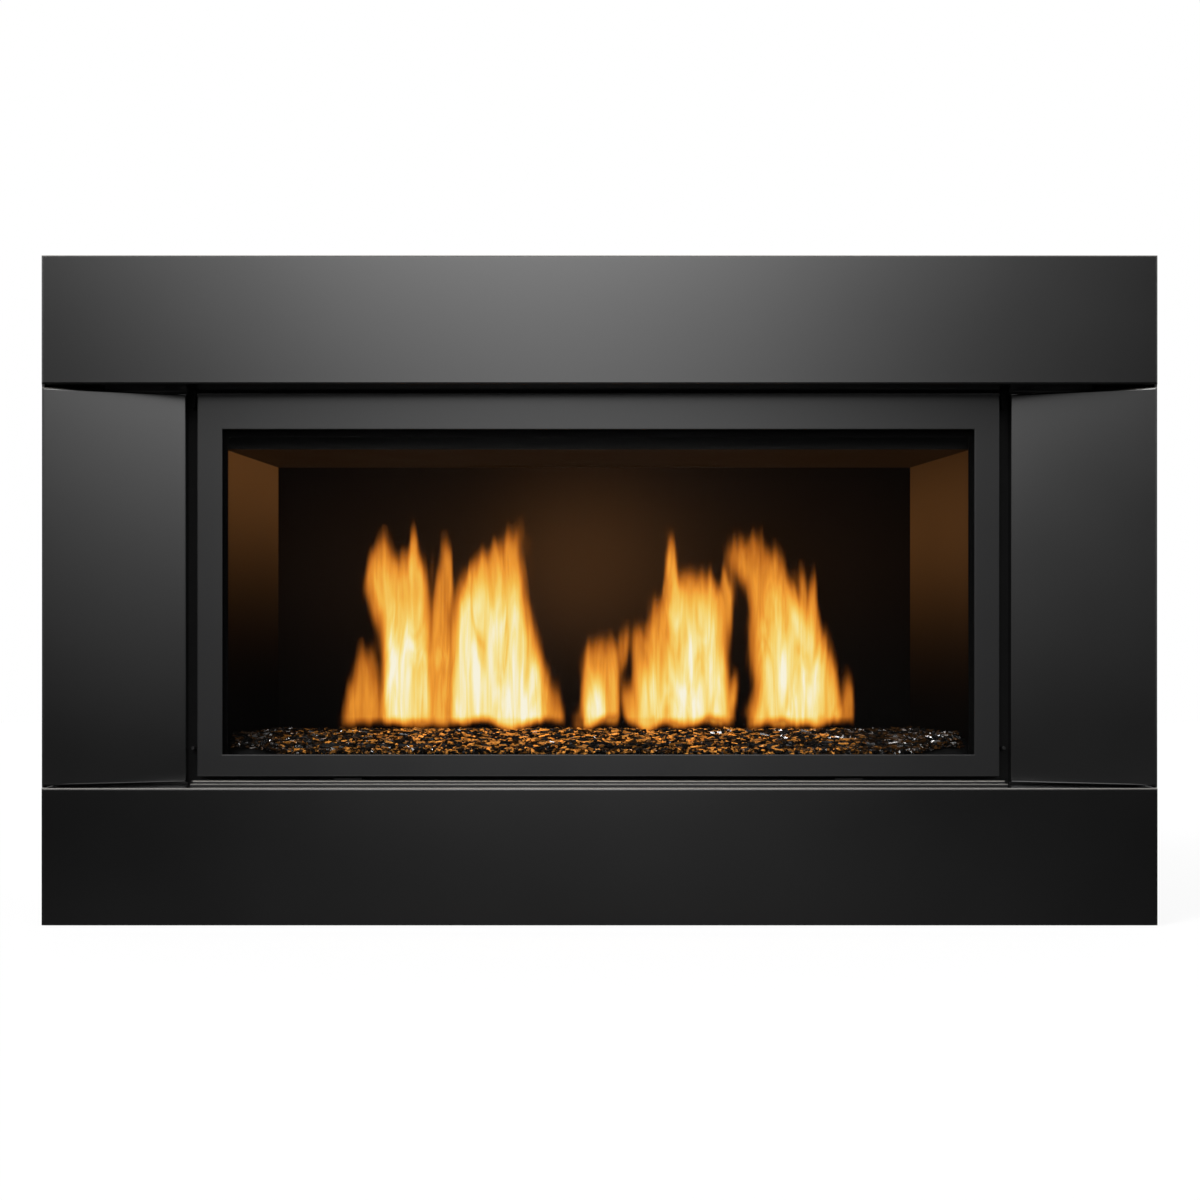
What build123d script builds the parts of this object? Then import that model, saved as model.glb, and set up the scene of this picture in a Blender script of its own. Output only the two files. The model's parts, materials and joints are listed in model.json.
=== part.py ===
from build123d import *
import os
from math import cos, radians, sin

os.makedirs("parts", exist_ok=True)

# Linear direct-vent gas fireplace insert. Millimetres, +Z up, the front faces -Y.
# Z = 0 is the bottom of the levelling feet, X = 0 the middle of the surround.

# ---- driving dimensions ---------------------------------------------------
# surround
SURROUND_W = 1170.0
SURROUND_TOP = 703.5
FRONT = -210.0              # front faces of the top and bottom panels
RECESS = -150.0             # front face of the glass door
WALL = -140.0               # rear edge of the surround's returns
SHEET = 1.6
FOLD_R = 2.0
TOP_PANEL_LOW = 568.3
TOP_RETURN_END = -151.0     # the top panel's underside return stops in front of the door
SIDE_LOW, SIDE_HIGH = 147.0, 565.0
SIDE_INNER_X = 443.7
BOTTOM_PANEL_LOW, BOTTOM_PANEL_HIGH = 1.0, 145.0
BOTTOM_LIP_HIGH = 44.0      # folded-up rear lip that the magnets hold

# glass door
DOOR_X = 432.0
DOOR_LOW, DOOR_HIGH = 153.1, 565.7
WINDOW_X = 404.7
WINDOW_LOW, WINDOW_HIGH = 177.3, 526.9
DOOR_DEPTH = 13.5
GLASS_FRONT, GLASS_T = -145.5, 5.0
GLASS_X, GLASS_LOW, GLASS_HIGH = 415.0, 160.0, 534.5
GASKET_W, GASKET_T = 12.0, 5.7
HINGE_Y, HINGE_Z, HINGE_PIN_R = -140.0, 562.0, 2.0
HINGE_PLAY = 0.05

# casing
CASING_X = 470.0
CASING_FRONT = -136.0       # front face of the casing's front flanges
CASING_BACK = 210.0
CASING_LOW, CASING_HIGH = 15.0, 610.0
CASING_T = 1.5
FLANGE = 24.0
FACE_Y = -134.5             # front of the plate that the door seals on
FACE_T = 2.0
SILL_X = 434.0

# firebox
BOX_FRONT, BOX_BACK = -115.0, 111.0
BOX_FRONT_X, BOX_BACK_X = 407.0, 379.2
BOX_FLOOR, BOX_CEILING = 165.0, 508.7
LINER_T = 5.0
LINER_GAP = 8.0
WRAP_TOP = 530.0
HEADER_T = 2.0

# burner, tray and media
TRAY_LIP = 187.0
TRAY_GAP = 2.0
TRAY_FRONT = -112.0
MEDIA_FRONT_Z, MEDIA_CREST_Z, MEDIA_BACK_Z = 188.0, 198.0, 193.0
CREST_Y = -10.0
BURNER_X0, BURNER_X1 = -290.0, 302.0
BURNER_W, BURNER_H = 42.0, 18.0

# controls, in the compartment behind the bottom panel
PANEL_Y = -118.0            # front face of the control plate
VALVE_X, VALVE_Y, VALVE_Z = -150.0, -80.0, 72.0
PILOT_KNOB_X, FLAME_KNOB_X, KNOB_Z = -172.0, -128.0, 84.0
IGNITER_X, ROCKER_X, BLOWER_KNOB_X = -222.0, -72.0, -22.0
MIXER_X = 60.0

# blower
BLOWER_Y, BLOWER_Z = 150.0, 78.0
IMPELLER_R, IMPELLER_BORE_R = 30.0, 23.0
IMPELLER_X0, IMPELLER_X1 = 40.0, 340.0
BLADES = 24

# flue
FLUE_X, FLUE_Y = 90.0, 60.0
FLUE_R, FLUE_T = 38.0, 1.0
FLUE_TOP = 650.0


# ---- small helpers --------------------------------------------------------
def save(piece, name):
    """Label a finished piece and write it as its own STEP file."""
    piece.part.label = name
    export_step(piece.part, f"parts/{name}.step")


def block(x0, x1, y0, y1, z0, z1, mode=Mode.ADD):
    """Add or cut a rectangular block given by its two corners."""
    with Locations(((x0 + x1) / 2, (y0 + y1) / 2, (z0 + z1) / 2)):
        Box(x1 - x0, y1 - y0, z1 - z0, mode=mode)


def rod(plane, radius, length, mode=Mode.ADD):
    """Add or cut a round bar that starts on a plane and runs along its normal."""
    with BuildSketch(plane) as section:
        Circle(radius)
    extrude(section.sketch, amount=length, mode=mode)


def facing_front(x, y, z):
    """A plane at a point that faces the room, with X to the right."""
    return Plane(origin=(x, y, z), x_dir=(1, 0, 0), z_dir=(0, -1, 0))


def facing_right(x, y, z):
    """A plane at a point that faces +X."""
    return Plane(origin=(x, y, z), x_dir=(0, 1, 0), z_dir=(1, 0, 0))


def box_half_width(y, outset=0.0):
    """Half the firebox's inner width at a depth y, moved outwards by an outset."""
    share = (y - BOX_FRONT) / (BOX_BACK - BOX_FRONT)
    return BOX_FRONT_X + share * (BOX_BACK_X - BOX_FRONT_X) + outset


def firebox_plan(y0, y1, outset=0.0):
    """The firebox's tapered plan between two depths, as a face in the open sketch."""
    near = box_half_width(y0, outset)
    far = box_half_width(y1, outset)
    with BuildLine() as outline:
        Polyline((-near, y0), (near, y0), (far, y1), (-far, y1), close=True)
    make_face(outline.edges())


# ---- surround -------------------------------------------------------------
def folded_tray(corners, z_low, z_high):
    """A sheet tray, open towards the wall: its plan's corners, with returns on all four sides."""
    with BuildSketch(Plane.XY.offset(z_low)) as plan:
        with BuildLine() as outline:
            Polyline(*corners, close=True)
        make_face(outline.edges())
    extrude(plan.sketch, amount=z_high - z_low)
    tray = BuildPart._get_context()
    front = tray.faces().filter_by(lambda face: face.normal_at().Y < -0.5)
    fillet(front.edges(), radius=FOLD_R)
    offset(amount=-SHEET, openings=tray.faces().sort_by(Axis.Y)[-1])


HALF_W = SURROUND_W / 2
INNER_X = HALF_W - SHEET    # inside of the outer returns
FLAT_PLAN = ((HALF_W, WALL), (HALF_W, FRONT), (-HALF_W, FRONT), (-HALF_W, WALL))
SPACER_X0, SPACER_X1 = 530.0, 578.0
SPACER_Y0, SPACER_Y1 = -181.0, -153.0
SPACER_SCREW_X, SPACER_SCREW_Y = 555.0, (-175.0, -159.0)
SCREW_R, SCREW_HOLE_R = 2.0, 2.15
HEAD_R, HEAD_T = 4.0, 2.4


def spacer_screw_holes(z, depth):
    """Cut the four screw holes of the corner spacers upwards from a height."""
    for side in (-1, 1):
        for y in SPACER_SCREW_Y:
            rod(Plane((side * SPACER_SCREW_X, y, z)), SCREW_HOLE_R, depth, mode=Mode.SUBTRACT)


with BuildPart() as top_panel:
    folded_tray(FLAT_PLAN, TOP_PANEL_LOW, SURROUND_TOP)
    block(-INNER_X, INNER_X, TOP_RETURN_END, WALL, TOP_PANEL_LOW - 1, TOP_PANEL_LOW + 10, mode=Mode.SUBTRACT)
    spacer_screw_holes(TOP_PANEL_LOW - 1, 5)
save(top_panel, "top_panel")

PIN_X, PIN_Z, PIN_R, PIN_PLAY = 420.0, 30.0, 4.0, 0.08
LIP_CLEARANCE = 2.0         # from the door's plane to the end of the bottom panel's top return
with BuildPart() as bottom_panel:
    folded_tray(FLAT_PLAN, BOTTOM_PANEL_LOW, BOTTOM_PANEL_HIGH)
    block(-INNER_X, INNER_X, RECESS - LIP_CLEARANCE, WALL, BOTTOM_PANEL_HIGH - 10, BOTTOM_PANEL_HIGH + 1,
          mode=Mode.SUBTRACT)
    block(-INNER_X, INNER_X, WALL - SHEET, WALL, BOTTOM_PANEL_LOW, BOTTOM_LIP_HIGH)
    for side in (-1, 1):
        rod(facing_front(side * PIN_X, WALL + 1, PIN_Z), PIN_R + PIN_PLAY, 4, mode=Mode.SUBTRACT)
save(bottom_panel, "bottom_panel")

# Each side panel slopes inwards to the door. Its foot is screwed to the casing, and lips behind its
# top and bottom edges close the gaps to the other two panels.
SIDE_FOOT_X = 467.0
FOOT_SCREW_X, FOOT_SCREW_Z = 456.0, (200.0, 356.0, 512.0)
LIP_X = INNER_X - 1.4
LIP_LOW, LIP_HIGH = 143.5, 571.0
EDGE_X0, EDGE_X1 = LIP_X, HALF_W - 0.4      # strips that close the gaps' outer ends
EDGE_FRONT = FRONT + 1.5
PANEL_PLAY = 0.3            # between those strips and the panel that pulls off
with BuildPart() as right_side_panel:
    folded_tray(
        ((HALF_W, WALL), (HALF_W, FRONT), (SIDE_INNER_X, RECESS), (SIDE_INNER_X, WALL)),
        SIDE_LOW, SIDE_HIGH,
    )
    block(SIDE_INNER_X, SIDE_INNER_X + SHEET, WALL, CASING_FRONT, SIDE_LOW, SIDE_HIGH)
    block(SIDE_INNER_X, SIDE_FOOT_X, CASING_FRONT - SHEET, CASING_FRONT, SIDE_LOW, SIDE_HIGH)
    block(SIDE_INNER_X, LIP_X, WALL - SHEET, WALL, SIDE_HIGH - SHEET, LIP_HIGH)
    block(SIDE_INNER_X, LIP_X, WALL - SHEET, WALL, LIP_LOW, SIDE_LOW + SHEET)
    block(EDGE_X0, EDGE_X1, EDGE_FRONT, WALL, SIDE_HIGH - SHEET, TOP_PANEL_LOW)
    block(EDGE_X0, EDGE_X1, EDGE_FRONT, WALL, BOTTOM_PANEL_HIGH + PANEL_PLAY, SIDE_LOW + SHEET)
    for y in SPACER_SCREW_Y:
        rod(Plane((SPACER_SCREW_X, y, SIDE_HIGH - 5)), SCREW_HOLE_R, 10, mode=Mode.SUBTRACT)
    for z in FOOT_SCREW_Z:
        rod(facing_front(FOOT_SCREW_X, CASING_FRONT + 1, z), SCREW_HOLE_R, 5, mode=Mode.SUBTRACT)
save(right_side_panel, "right_side_panel")

with BuildPart() as left_side_panel:
    mirror(right_side_panel.part, about=Plane.YZ)
save(left_side_panel, "left_side_panel")

# Two spacers carry the top panel on the side panels.
with BuildPart() as corner_spacers:
    for side in (-1, 1):
        x0, x1 = sorted((side * SPACER_X0, side * SPACER_X1))
        block(x0, x1, SPACER_Y0, SPACER_Y1, SIDE_HIGH, TOP_PANEL_LOW)
    spacer_screw_holes(SIDE_HIGH - 1, 10)
save(corner_spacers, "corner_spacers")


def sheet_screw(plane, length):
    """A hexagon-head screw: its head seats on the plane and its shank runs along the normal."""
    rod(plane, SCREW_R, length)
    head = Plane(origin=plane.origin, x_dir=plane.x_dir, z_dir=-plane.z_dir)
    with BuildSketch(head) as hexagon:
        RegularPolygon(radius=HEAD_R, side_count=6)
    extrude(hexagon.sketch, amount=HEAD_T)


with BuildPart() as surround_screws:
    for side in (-1, 1):
        for y in SPACER_SCREW_Y:
            sheet_screw(Plane((side * SPACER_SCREW_X, y, SIDE_HIGH - SHEET)), 9)
        for z in FOOT_SCREW_Z:
            sheet_screw(facing_front(side * FOOT_SCREW_X, CASING_FRONT + CASING_T, z), 7)
save(surround_screws, "surround_screws")

MAGNET_X, MAGNET_R, MAGNET_T = (-300.0, -100.0, 100.0, 300.0), 9.0, 3.7
with BuildPart() as panel_magnets:
    for x in MAGNET_X:
        rod(facing_front(x, CASING_FRONT, PIN_Z), MAGNET_R, MAGNET_T)
    rims = panel_magnets.faces().filter_by(GeomType.PLANE).group_by(Axis.Y)[0].edges()
    chamfer(rims, length=0.5)
save(panel_magnets, "panel_magnets")

with BuildPart() as locating_pins:
    for side in (-1, 1):
        rod(facing_front(side * PIN_X, CASING_FRONT, PIN_Z), 7, 2.5)
        rod(facing_front(side * PIN_X, CASING_FRONT, PIN_Z), PIN_R, 30)
    tips = locating_pins.faces().filter_by(GeomType.PLANE).group_by(Axis.Y)[0].edges()
    chamfer(tips, length=1.5)
save(locating_pins, "locating_pins")

# ---- glass door -----------------------------------------------------------
DOOR_MID = (DOOR_LOW + DOOR_HIGH) / 2
WINDOW_MID = (WINDOW_LOW + WINDOW_HIGH) / 2
with BuildPart() as door_frame:
    rear = RECESS + DOOR_DEPTH
    with BuildSketch(facing_front(0, rear, DOOR_MID)):
        Rectangle(2 * DOOR_X, DOOR_HIGH - DOOR_LOW)
    extrude(amount=DOOR_DEPTH)
    fillet(door_frame.faces().sort_by(Axis.Y)[0].edges(), radius=1.5)
    offset(amount=-SHEET, openings=door_frame.faces().sort_by(Axis.Y)[-1])
    # the window has its own short return, which the glass rests against
    with BuildSketch(facing_front(0, GLASS_FRONT, WINDOW_MID)):
        Rectangle(2 * (WINDOW_X + SHEET), WINDOW_HIGH - WINDOW_LOW + 2 * SHEET)
    extrude(amount=GLASS_FRONT - RECESS - SHEET)
    with BuildSketch(facing_front(0, rear, WINDOW_MID)):
        Rectangle(2 * WINDOW_X, WINDOW_HIGH - WINDOW_LOW)
    extrude(amount=DOOR_DEPTH + 1, mode=Mode.SUBTRACT)
    window_edges = door_frame.faces().sort_by(Axis.Y)[0].inner_wires()[0].edges()
    fillet(window_edges, radius=1.0)
    # hinge lugs inside the side returns
    for side in (-1, 1):
        start = side * (DOOR_X - SHEET - 3)
        lug = Plane(origin=(start, HINGE_Y, HINGE_Z), x_dir=(0, 1, 0), z_dir=(side, 0, 0))
        rod(lug, 3.6, 3.5)
        rod(lug.offset(-1), HINGE_PIN_R + HINGE_PLAY, 8, mode=Mode.SUBTRACT)
save(door_frame, "door_frame")

with BuildPart() as door_glass:
    with BuildSketch(facing_front(0, GLASS_FRONT + GLASS_T, (GLASS_LOW + GLASS_HIGH) / 2)):
        RectangleRounded(2 * GLASS_X, GLASS_HIGH - GLASS_LOW, 6)
    extrude(amount=GLASS_T)
    chamfer(door_glass.faces().filter_by(Axis.Y).edges(), length=0.6)
save(door_glass, "door_glass")

GASKET_EDGE = 2.5           # from the glass edge to the gasket
with BuildPart() as glass_gasket:
    start = GLASS_FRONT + GLASS_T + GASKET_T
    with BuildSketch(facing_front(0, start, (GLASS_LOW + GLASS_HIGH) / 2)):
        wide = 2 * (GLASS_X - GASKET_EDGE)
        high = GLASS_HIGH - GLASS_LOW - 2 * GASKET_EDGE
        RectangleRounded(wide, high, 14)
        RectangleRounded(wide - 2 * GASKET_W, high - 2 * GASKET_W, 4, mode=Mode.SUBTRACT)
    extrude(amount=GASKET_T)
    chamfer(glass_gasket.faces().sort_by(Axis.Y)[-1].edges(), length=1.5)
save(glass_gasket, "glass_gasket")

# Bent clips welded inside the frame's returns hold the glass to the window return.
CLIP_W, CLIP_T = 26.0, 1.2
CLIP_Z = (230.0, 352.0, 474.0)
with BuildPart() as glass_clips:
    rear = GLASS_FRONT + GLASS_T
    for side in (-1, 1):
        for z in CLIP_Z:
            outer, inner = DOOR_X - SHEET, GLASS_X - GASKET_EDGE + 0.3
            x0, x1 = sorted((side * outer, side * inner))
            block(x0, x1, rear, rear + CLIP_T, z - CLIP_W / 2, z + CLIP_W / 2)
            x0, x1 = sorted((side * outer, side * (outer - CLIP_T)))
            block(x0, x1, RECESS + SHEET, rear + CLIP_T, z - CLIP_W / 2, z + CLIP_W / 2)
save(glass_clips, "glass_clips")

# ---- fixed pieces around the door -----------------------------------------
HINGE_PLATE_X, HINGE_PLATE_T = 435.0, 2.0   # the bracket's upright plate
HINGE_FOOT_X = 442.0
HINGE_PIN_X = 426.0
with BuildPart() as door_hinge_pins:
    for side in (-1, 1):
        x0, x1 = sorted((side * HINGE_PLATE_X, side * (HINGE_PLATE_X + HINGE_PLATE_T)))
        block(x0, x1, HINGE_Y - 5, FACE_Y, HINGE_Z - 12, HINGE_Z + 12)
        x0, x1 = sorted((side * HINGE_PLATE_X, side * HINGE_FOOT_X))
        block(x0, x1, FACE_Y - 2, FACE_Y, HINGE_Z - 12, HINGE_Z + 12)
    fillet(door_hinge_pins.edges().filter_by(Axis.X).group_by(Axis.Y)[0], radius=3)
    for side in (-1, 1):
        start = Plane(origin=(side * HINGE_PIN_X, HINGE_Y, HINGE_Z), x_dir=(0, 1, 0), z_dir=(side, 0, 0))
        rod(start, HINGE_PIN_R, 9)
        rod(start.offset(11), 3.2, 1.6)
save(door_hinge_pins, "door_hinge_pins")

STUD_X, STUD_Z, STUD_R = 436.7, 183.8, 2.0
with BuildPart() as door_guide_studs:
    for side in (-1, 1):
        rod(facing_front(side * STUD_X, FACE_Y, STUD_Z), STUD_R, 15)
    tips = door_guide_studs.faces().filter_by(GeomType.PLANE).group_by(Axis.Y)[0].edges()
    chamfer(tips, length=0.6)
save(door_guide_studs, "door_guide_studs")

SPRING_T, SPRING_W = 0.8, 30.0
CATCH_X = (-270.0, 270.0)
with BuildPart() as door_catch_springs:
    for x in CATCH_X:
        with BuildSketch(Plane.YZ.offset(x - SPRING_W / 2)):
            with BuildLine() as leaf:
                FilletPolyline(
                    (FACE_Y - SPRING_T / 2, 140),
                    (FACE_Y - SPRING_T / 2, 150.6),
                    (-140, 150.6),
                    (-143.5, 152.2),
                    (-147, 150.6),
                    (-149.5, 150.6),
                    radius=1.0,
                )
            trace(leaf.line, line_width=SPRING_T)
        extrude(amount=SPRING_W)
save(door_catch_springs, "door_catch_springs")

SILL_Y, STEP_Y = -180.0, -165.0
STEP_LOW, STEP_TOP, SILL_TOP = 145.4, 147.4, 149.8
with BuildPart() as sill_track:
    # two steps bent from one sheet: seen from the room they are two bright lines under the door
    with BuildSketch(Plane.YZ.offset(-SILL_X)):
        with BuildLine():
            Polyline(
                (SILL_Y, STEP_LOW), (SILL_Y, STEP_TOP), (STEP_Y, STEP_TOP), (STEP_Y, SILL_TOP),
                (FACE_Y, SILL_TOP), (FACE_Y, 136), (FACE_Y - SHEET, 136),
                (FACE_Y - SHEET, SILL_TOP - SHEET), (STEP_Y + SHEET, SILL_TOP - SHEET),
                (STEP_Y + SHEET, STEP_TOP - SHEET), (SILL_Y + SHEET, STEP_TOP - SHEET),
                (SILL_Y + SHEET, STEP_LOW),
                close=True,
            )
        make_face()
    extrude(amount=2 * SILL_X)
    for x in CATCH_X:
        block(x - SPRING_W / 2 - 2, x + SPRING_W / 2 + 2, RECESS - 2, FACE_Y, 135, 151, mode=Mode.SUBTRACT)
save(sill_track, "sill_track")

# ---- casing ---------------------------------------------------------------
COLLAR_HOLE_R = 37.0
VALVE_PORT_R = 12.0
with BuildPart() as casing_right:
    with BuildSketch(Plane.XY.offset(CASING_LOW)):
        with BuildLine() as fold:
            Polyline(
                (CASING_X - FLANGE, CASING_FRONT + CASING_T / 2),
                (CASING_X - CASING_T / 2, CASING_FRONT + CASING_T / 2),
                (CASING_X - CASING_T / 2, CASING_BACK - CASING_T),
            )
        trace(fold.line, line_width=CASING_T)
    extrude(amount=CASING_HIGH - CASING_T - CASING_LOW)
    for z in FOOT_SCREW_Z:
        rod(facing_front(FOOT_SCREW_X, CASING_FRONT + 3, z), SCREW_HOLE_R, 5, mode=Mode.SUBTRACT)
    block(CASING_X - FLANGE - 1, CASING_X - CASING_T, CASING_FRONT - 1, CASING_FRONT + 3, 0, 60,
          mode=Mode.SUBTRACT)
save(casing_right, "casing_right")

with BuildPart() as casing_left:
    mirror(casing_right.part, about=Plane.YZ)
    rod(facing_right(-CASING_X - 1, VALVE_Y, VALVE_Z), VALVE_PORT_R, 4, mode=Mode.SUBTRACT)
save(casing_left, "casing_left")

with BuildPart() as casing_back:
    with BuildSketch(Plane.XY.offset(CASING_LOW + CASING_T)):
        with BuildLine() as fold:
            Polyline(
                (-CASING_X + CASING_T * 1.5, CASING_BACK - 20),
                (-CASING_X + CASING_T * 1.5, CASING_BACK - CASING_T / 2),
                (CASING_X - CASING_T * 1.5, CASING_BACK - CASING_T / 2),
                (CASING_X - CASING_T * 1.5, CASING_BACK - 20),
            )
        trace(fold.line, line_width=CASING_T)
    extrude(amount=CASING_HIGH - 2 * CASING_T - CASING_LOW)
save(casing_back, "casing_back")

with BuildPart() as casing_top:
    block(-CASING_X, CASING_X, CASING_FRONT, CASING_BACK, CASING_HIGH - CASING_T, CASING_HIGH)
    for side in (-1, 1):
        rod(Plane((side * FLUE_X, FLUE_Y, CASING_HIGH - 3)), COLLAR_HOLE_R, 5, mode=Mode.SUBTRACT)
save(casing_top, "casing_top")

FOOT_X, FOOT_Y = 420.0, (-105.0, 175.0)
ANCHOR_X, ANCHOR_Y, ANCHOR_R = 385.0, (-30.0, 70.0), 4.5
with BuildPart() as base_pan:
    x = CASING_X - CASING_T
    block(-x, x, CASING_FRONT, CASING_BACK, CASING_LOW, CASING_LOW + CASING_T)
    block(-x, x, CASING_FRONT, CASING_FRONT + CASING_T, CASING_LOW, 42)
    for side in (-1, 1):
        for y in FOOT_Y:
            rod(Plane((side * FOOT_X, y, 10)), 4.2, 10, mode=Mode.SUBTRACT)
        for y in ANCHOR_Y:
            rod(Plane((side * ANCHOR_X, y, 10)), ANCHOR_R, 10, mode=Mode.SUBTRACT)
save(base_pan, "base_pan")

with BuildPart() as levelling_feet:
    for side in (-1, 1):
        for y in FOOT_Y:
            with BuildSketch(Plane((side * FOOT_X, y, 0))):
                Circle(17)
            extrude(amount=4, taper=12)
            rod(Plane((side * FOOT_X, y, 0)), 4, 34)
save(levelling_feet, "levelling_feet")

with BuildPart() as foot_nuts:
    for side in (-1, 1):
        for y in FOOT_Y:
            for z in (CASING_LOW - 6.5, CASING_LOW + CASING_T):
                with BuildSketch(Plane((side * FOOT_X, y, z))):
                    RegularPolygon(radius=7.5, side_count=6)
                    Circle(4.05, mode=Mode.SUBTRACT)
                extrude(amount=6.5)
save(foot_nuts, "foot_nuts")

FACE_LOW, FACE_HIGH = 136.0, CASING_HIGH - CASING_T
MOUTH_X, MOUTH_LOW, MOUTH_HIGH = 404.0, 176.0, 524.0
with BuildPart() as face_frame:
    x = CASING_X - CASING_T
    with BuildSketch(facing_front(0, FACE_Y + FACE_T, 0)):
        with Locations((0, (FACE_LOW + FACE_HIGH) / 2)):
            Rectangle(2 * x, FACE_HIGH - FACE_LOW)
        with Locations((0, (MOUTH_LOW + MOUTH_HIGH) / 2)):
            Rectangle(2 * MOUTH_X, MOUTH_HIGH - MOUTH_LOW, mode=Mode.SUBTRACT)
        with Locations(*[(side * FOOT_SCREW_X, z) for side in (-1, 1) for z in FOOT_SCREW_Z]):
            Circle(5, mode=Mode.SUBTRACT)
    extrude(amount=FACE_T)
save(face_frame, "face_frame")

with BuildPart() as firebox_header:
    with BuildSketch(Plane.YZ.offset(-BOX_FRONT_X - LINER_T)):
        with BuildLine():
            Polyline(
                (BOX_FRONT - HEADER_T, BOX_CEILING), (BOX_FRONT, BOX_CEILING), (BOX_FRONT, WRAP_TOP - 1),
                (FACE_Y + FACE_T, WRAP_TOP - 1), (FACE_Y + FACE_T, WRAP_TOP - 1 - HEADER_T),
                (BOX_FRONT - HEADER_T, WRAP_TOP - 1 - HEADER_T),
                close=True,
            )
        make_face()
    extrude(amount=2 * (BOX_FRONT_X + LINER_T))
save(firebox_header, "firebox_header")

# ---- firebox --------------------------------------------------------------
LINER_BACK = BOX_BACK + LINER_T
WRAP_BACK = LINER_BACK + LINER_GAP
with BuildPart() as firebox_wrap:
    with BuildSketch(Plane.XY.offset(BOX_FLOOR)):
        firebox_plan(FACE_Y + FACE_T, WRAP_BACK + CASING_T, LINER_T + LINER_GAP + CASING_T)
        with BuildSketch(mode=Mode.SUBTRACT):
            firebox_plan(FACE_Y + FACE_T - 1, WRAP_BACK, LINER_T + LINER_GAP)
    extrude(amount=WRAP_TOP - BOX_FLOOR)
save(firebox_wrap, "firebox_wrap")

with BuildPart() as firebox_top:
    with BuildSketch(Plane.XY.offset(WRAP_TOP)):
        firebox_plan(FACE_Y + FACE_T, WRAP_BACK + CASING_T, LINER_T + LINER_GAP + CASING_T)
        with Locations((-FLUE_X, FLUE_Y), (FLUE_X, FLUE_Y)):
            Circle(FLUE_R - 2 - FLUE_T, mode=Mode.SUBTRACT)
    extrude(amount=CASING_T)
save(firebox_top, "firebox_top")

PILOT_X, PILOT_Y = -100.0, 45.0
with BuildPart() as firebox_floor:
    with BuildSketch(Plane.XY.offset(BOX_FLOOR - CASING_T)):
        firebox_plan(FACE_Y + FACE_T, WRAP_BACK + CASING_T, LINER_T + LINER_GAP + CASING_T)
        with Locations((MIXER_X, CREST_Y)):
            Circle(14, mode=Mode.SUBTRACT)
        with Locations((PILOT_X, PILOT_Y)):
            Circle(8, mode=Mode.SUBTRACT)
    extrude(amount=CASING_T)
save(firebox_floor, "firebox_floor")

with BuildPart() as back_liner:
    block(-BOX_BACK_X, BOX_BACK_X, BOX_BACK, LINER_BACK, BOX_FLOOR, BOX_CEILING)
save(back_liner, "back_liner")

with BuildPart() as right_liner:
    with BuildSketch(Plane.XY.offset(BOX_FLOOR)):
        with BuildLine():
            Polyline(
                (box_half_width(BOX_FRONT), BOX_FRONT), (box_half_width(BOX_FRONT) + LINER_T, BOX_FRONT),
                (box_half_width(LINER_BACK) + LINER_T, LINER_BACK), (BOX_BACK_X, LINER_BACK),
                (BOX_BACK_X, BOX_BACK),
                close=True,
            )
        make_face()
    extrude(amount=BOX_CEILING - BOX_FLOOR)
save(right_liner, "right_liner")

with BuildPart() as left_liner:
    mirror(right_liner.part, about=Plane.YZ)
save(left_liner, "left_liner")

with BuildPart() as ceiling_liner:
    with BuildSketch(Plane.XY.offset(BOX_CEILING)):
        firebox_plan(BOX_FRONT, LINER_BACK, LINER_T)
        with Locations((0, BOX_BACK - 16)):
            SlotOverall(300, 20, mode=Mode.SUBTRACT)
    extrude(amount=LINER_T)
save(ceiling_liner, "ceiling_liner")

# ---- burner tray, burner and media ----------------------------------------
TRAY_BACK = BOX_BACK - TRAY_GAP
BURNER_FRONT, BURNER_REAR = CREST_Y - BURNER_W / 2, CREST_Y + BURNER_W / 2
TRAY_FLOOR = BOX_FLOOR + CASING_T
BURNER_TOP = TRAY_FLOOR + BURNER_H
with BuildPart() as burner_tray:
    with BuildSketch(Plane.XY.offset(BOX_FLOOR)):
        firebox_plan(TRAY_FRONT, TRAY_BACK, -TRAY_GAP)
    extrude(amount=TRAY_LIP - BOX_FLOOR)
    offset(amount=-CASING_T, openings=burner_tray.faces().sort_by(Axis.Z)[-1])
    with BuildSketch(Plane.XY.offset(BOX_FLOOR - 1)):
        with Locations((MIXER_X, CREST_Y)):
            Circle(14)
        with Locations((PILOT_X, PILOT_Y)):
            Circle(8)
    extrude(amount=4, mode=Mode.SUBTRACT)
save(burner_tray, "burner_tray")

BURNER_T = 1.2
PORTS = 36
with BuildPart() as burner_tube:
    with BuildSketch(Plane.YZ.offset(BURNER_X0)):
        with Locations((CREST_Y, TRAY_FLOOR + BURNER_H / 2)):
            RectangleRounded(BURNER_W, BURNER_H, 3)
            RectangleRounded(BURNER_W - 2 * BURNER_T, BURNER_H - 2 * BURNER_T, 1.8, mode=Mode.SUBTRACT)
    extrude(amount=BURNER_X1 - BURNER_X0)
    for x in (BURNER_X0, BURNER_X1 - BURNER_T):
        block(x, x + BURNER_T, BURNER_FRONT + 2, BURNER_REAR - 2, TRAY_FLOOR + BURNER_T / 2,
              BURNER_TOP - BURNER_T / 2)
    middle = (BURNER_X0 + BURNER_X1) / 2
    with BuildSketch(Plane.XY.offset(BURNER_TOP - 3)):
        with Locations((middle, CREST_Y)):
            with GridLocations((BURNER_X1 - BURNER_X0 - 30) / (PORTS - 1), 1, PORTS, 1):
                Rectangle(2.5, 24)
    extrude(amount=4, mode=Mode.SUBTRACT)
    rod(Plane((MIXER_X, CREST_Y, TRAY_FLOOR - 1)), 12.0, 4, mode=Mode.SUBTRACT)
save(burner_tube, "burner_tube")

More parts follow.
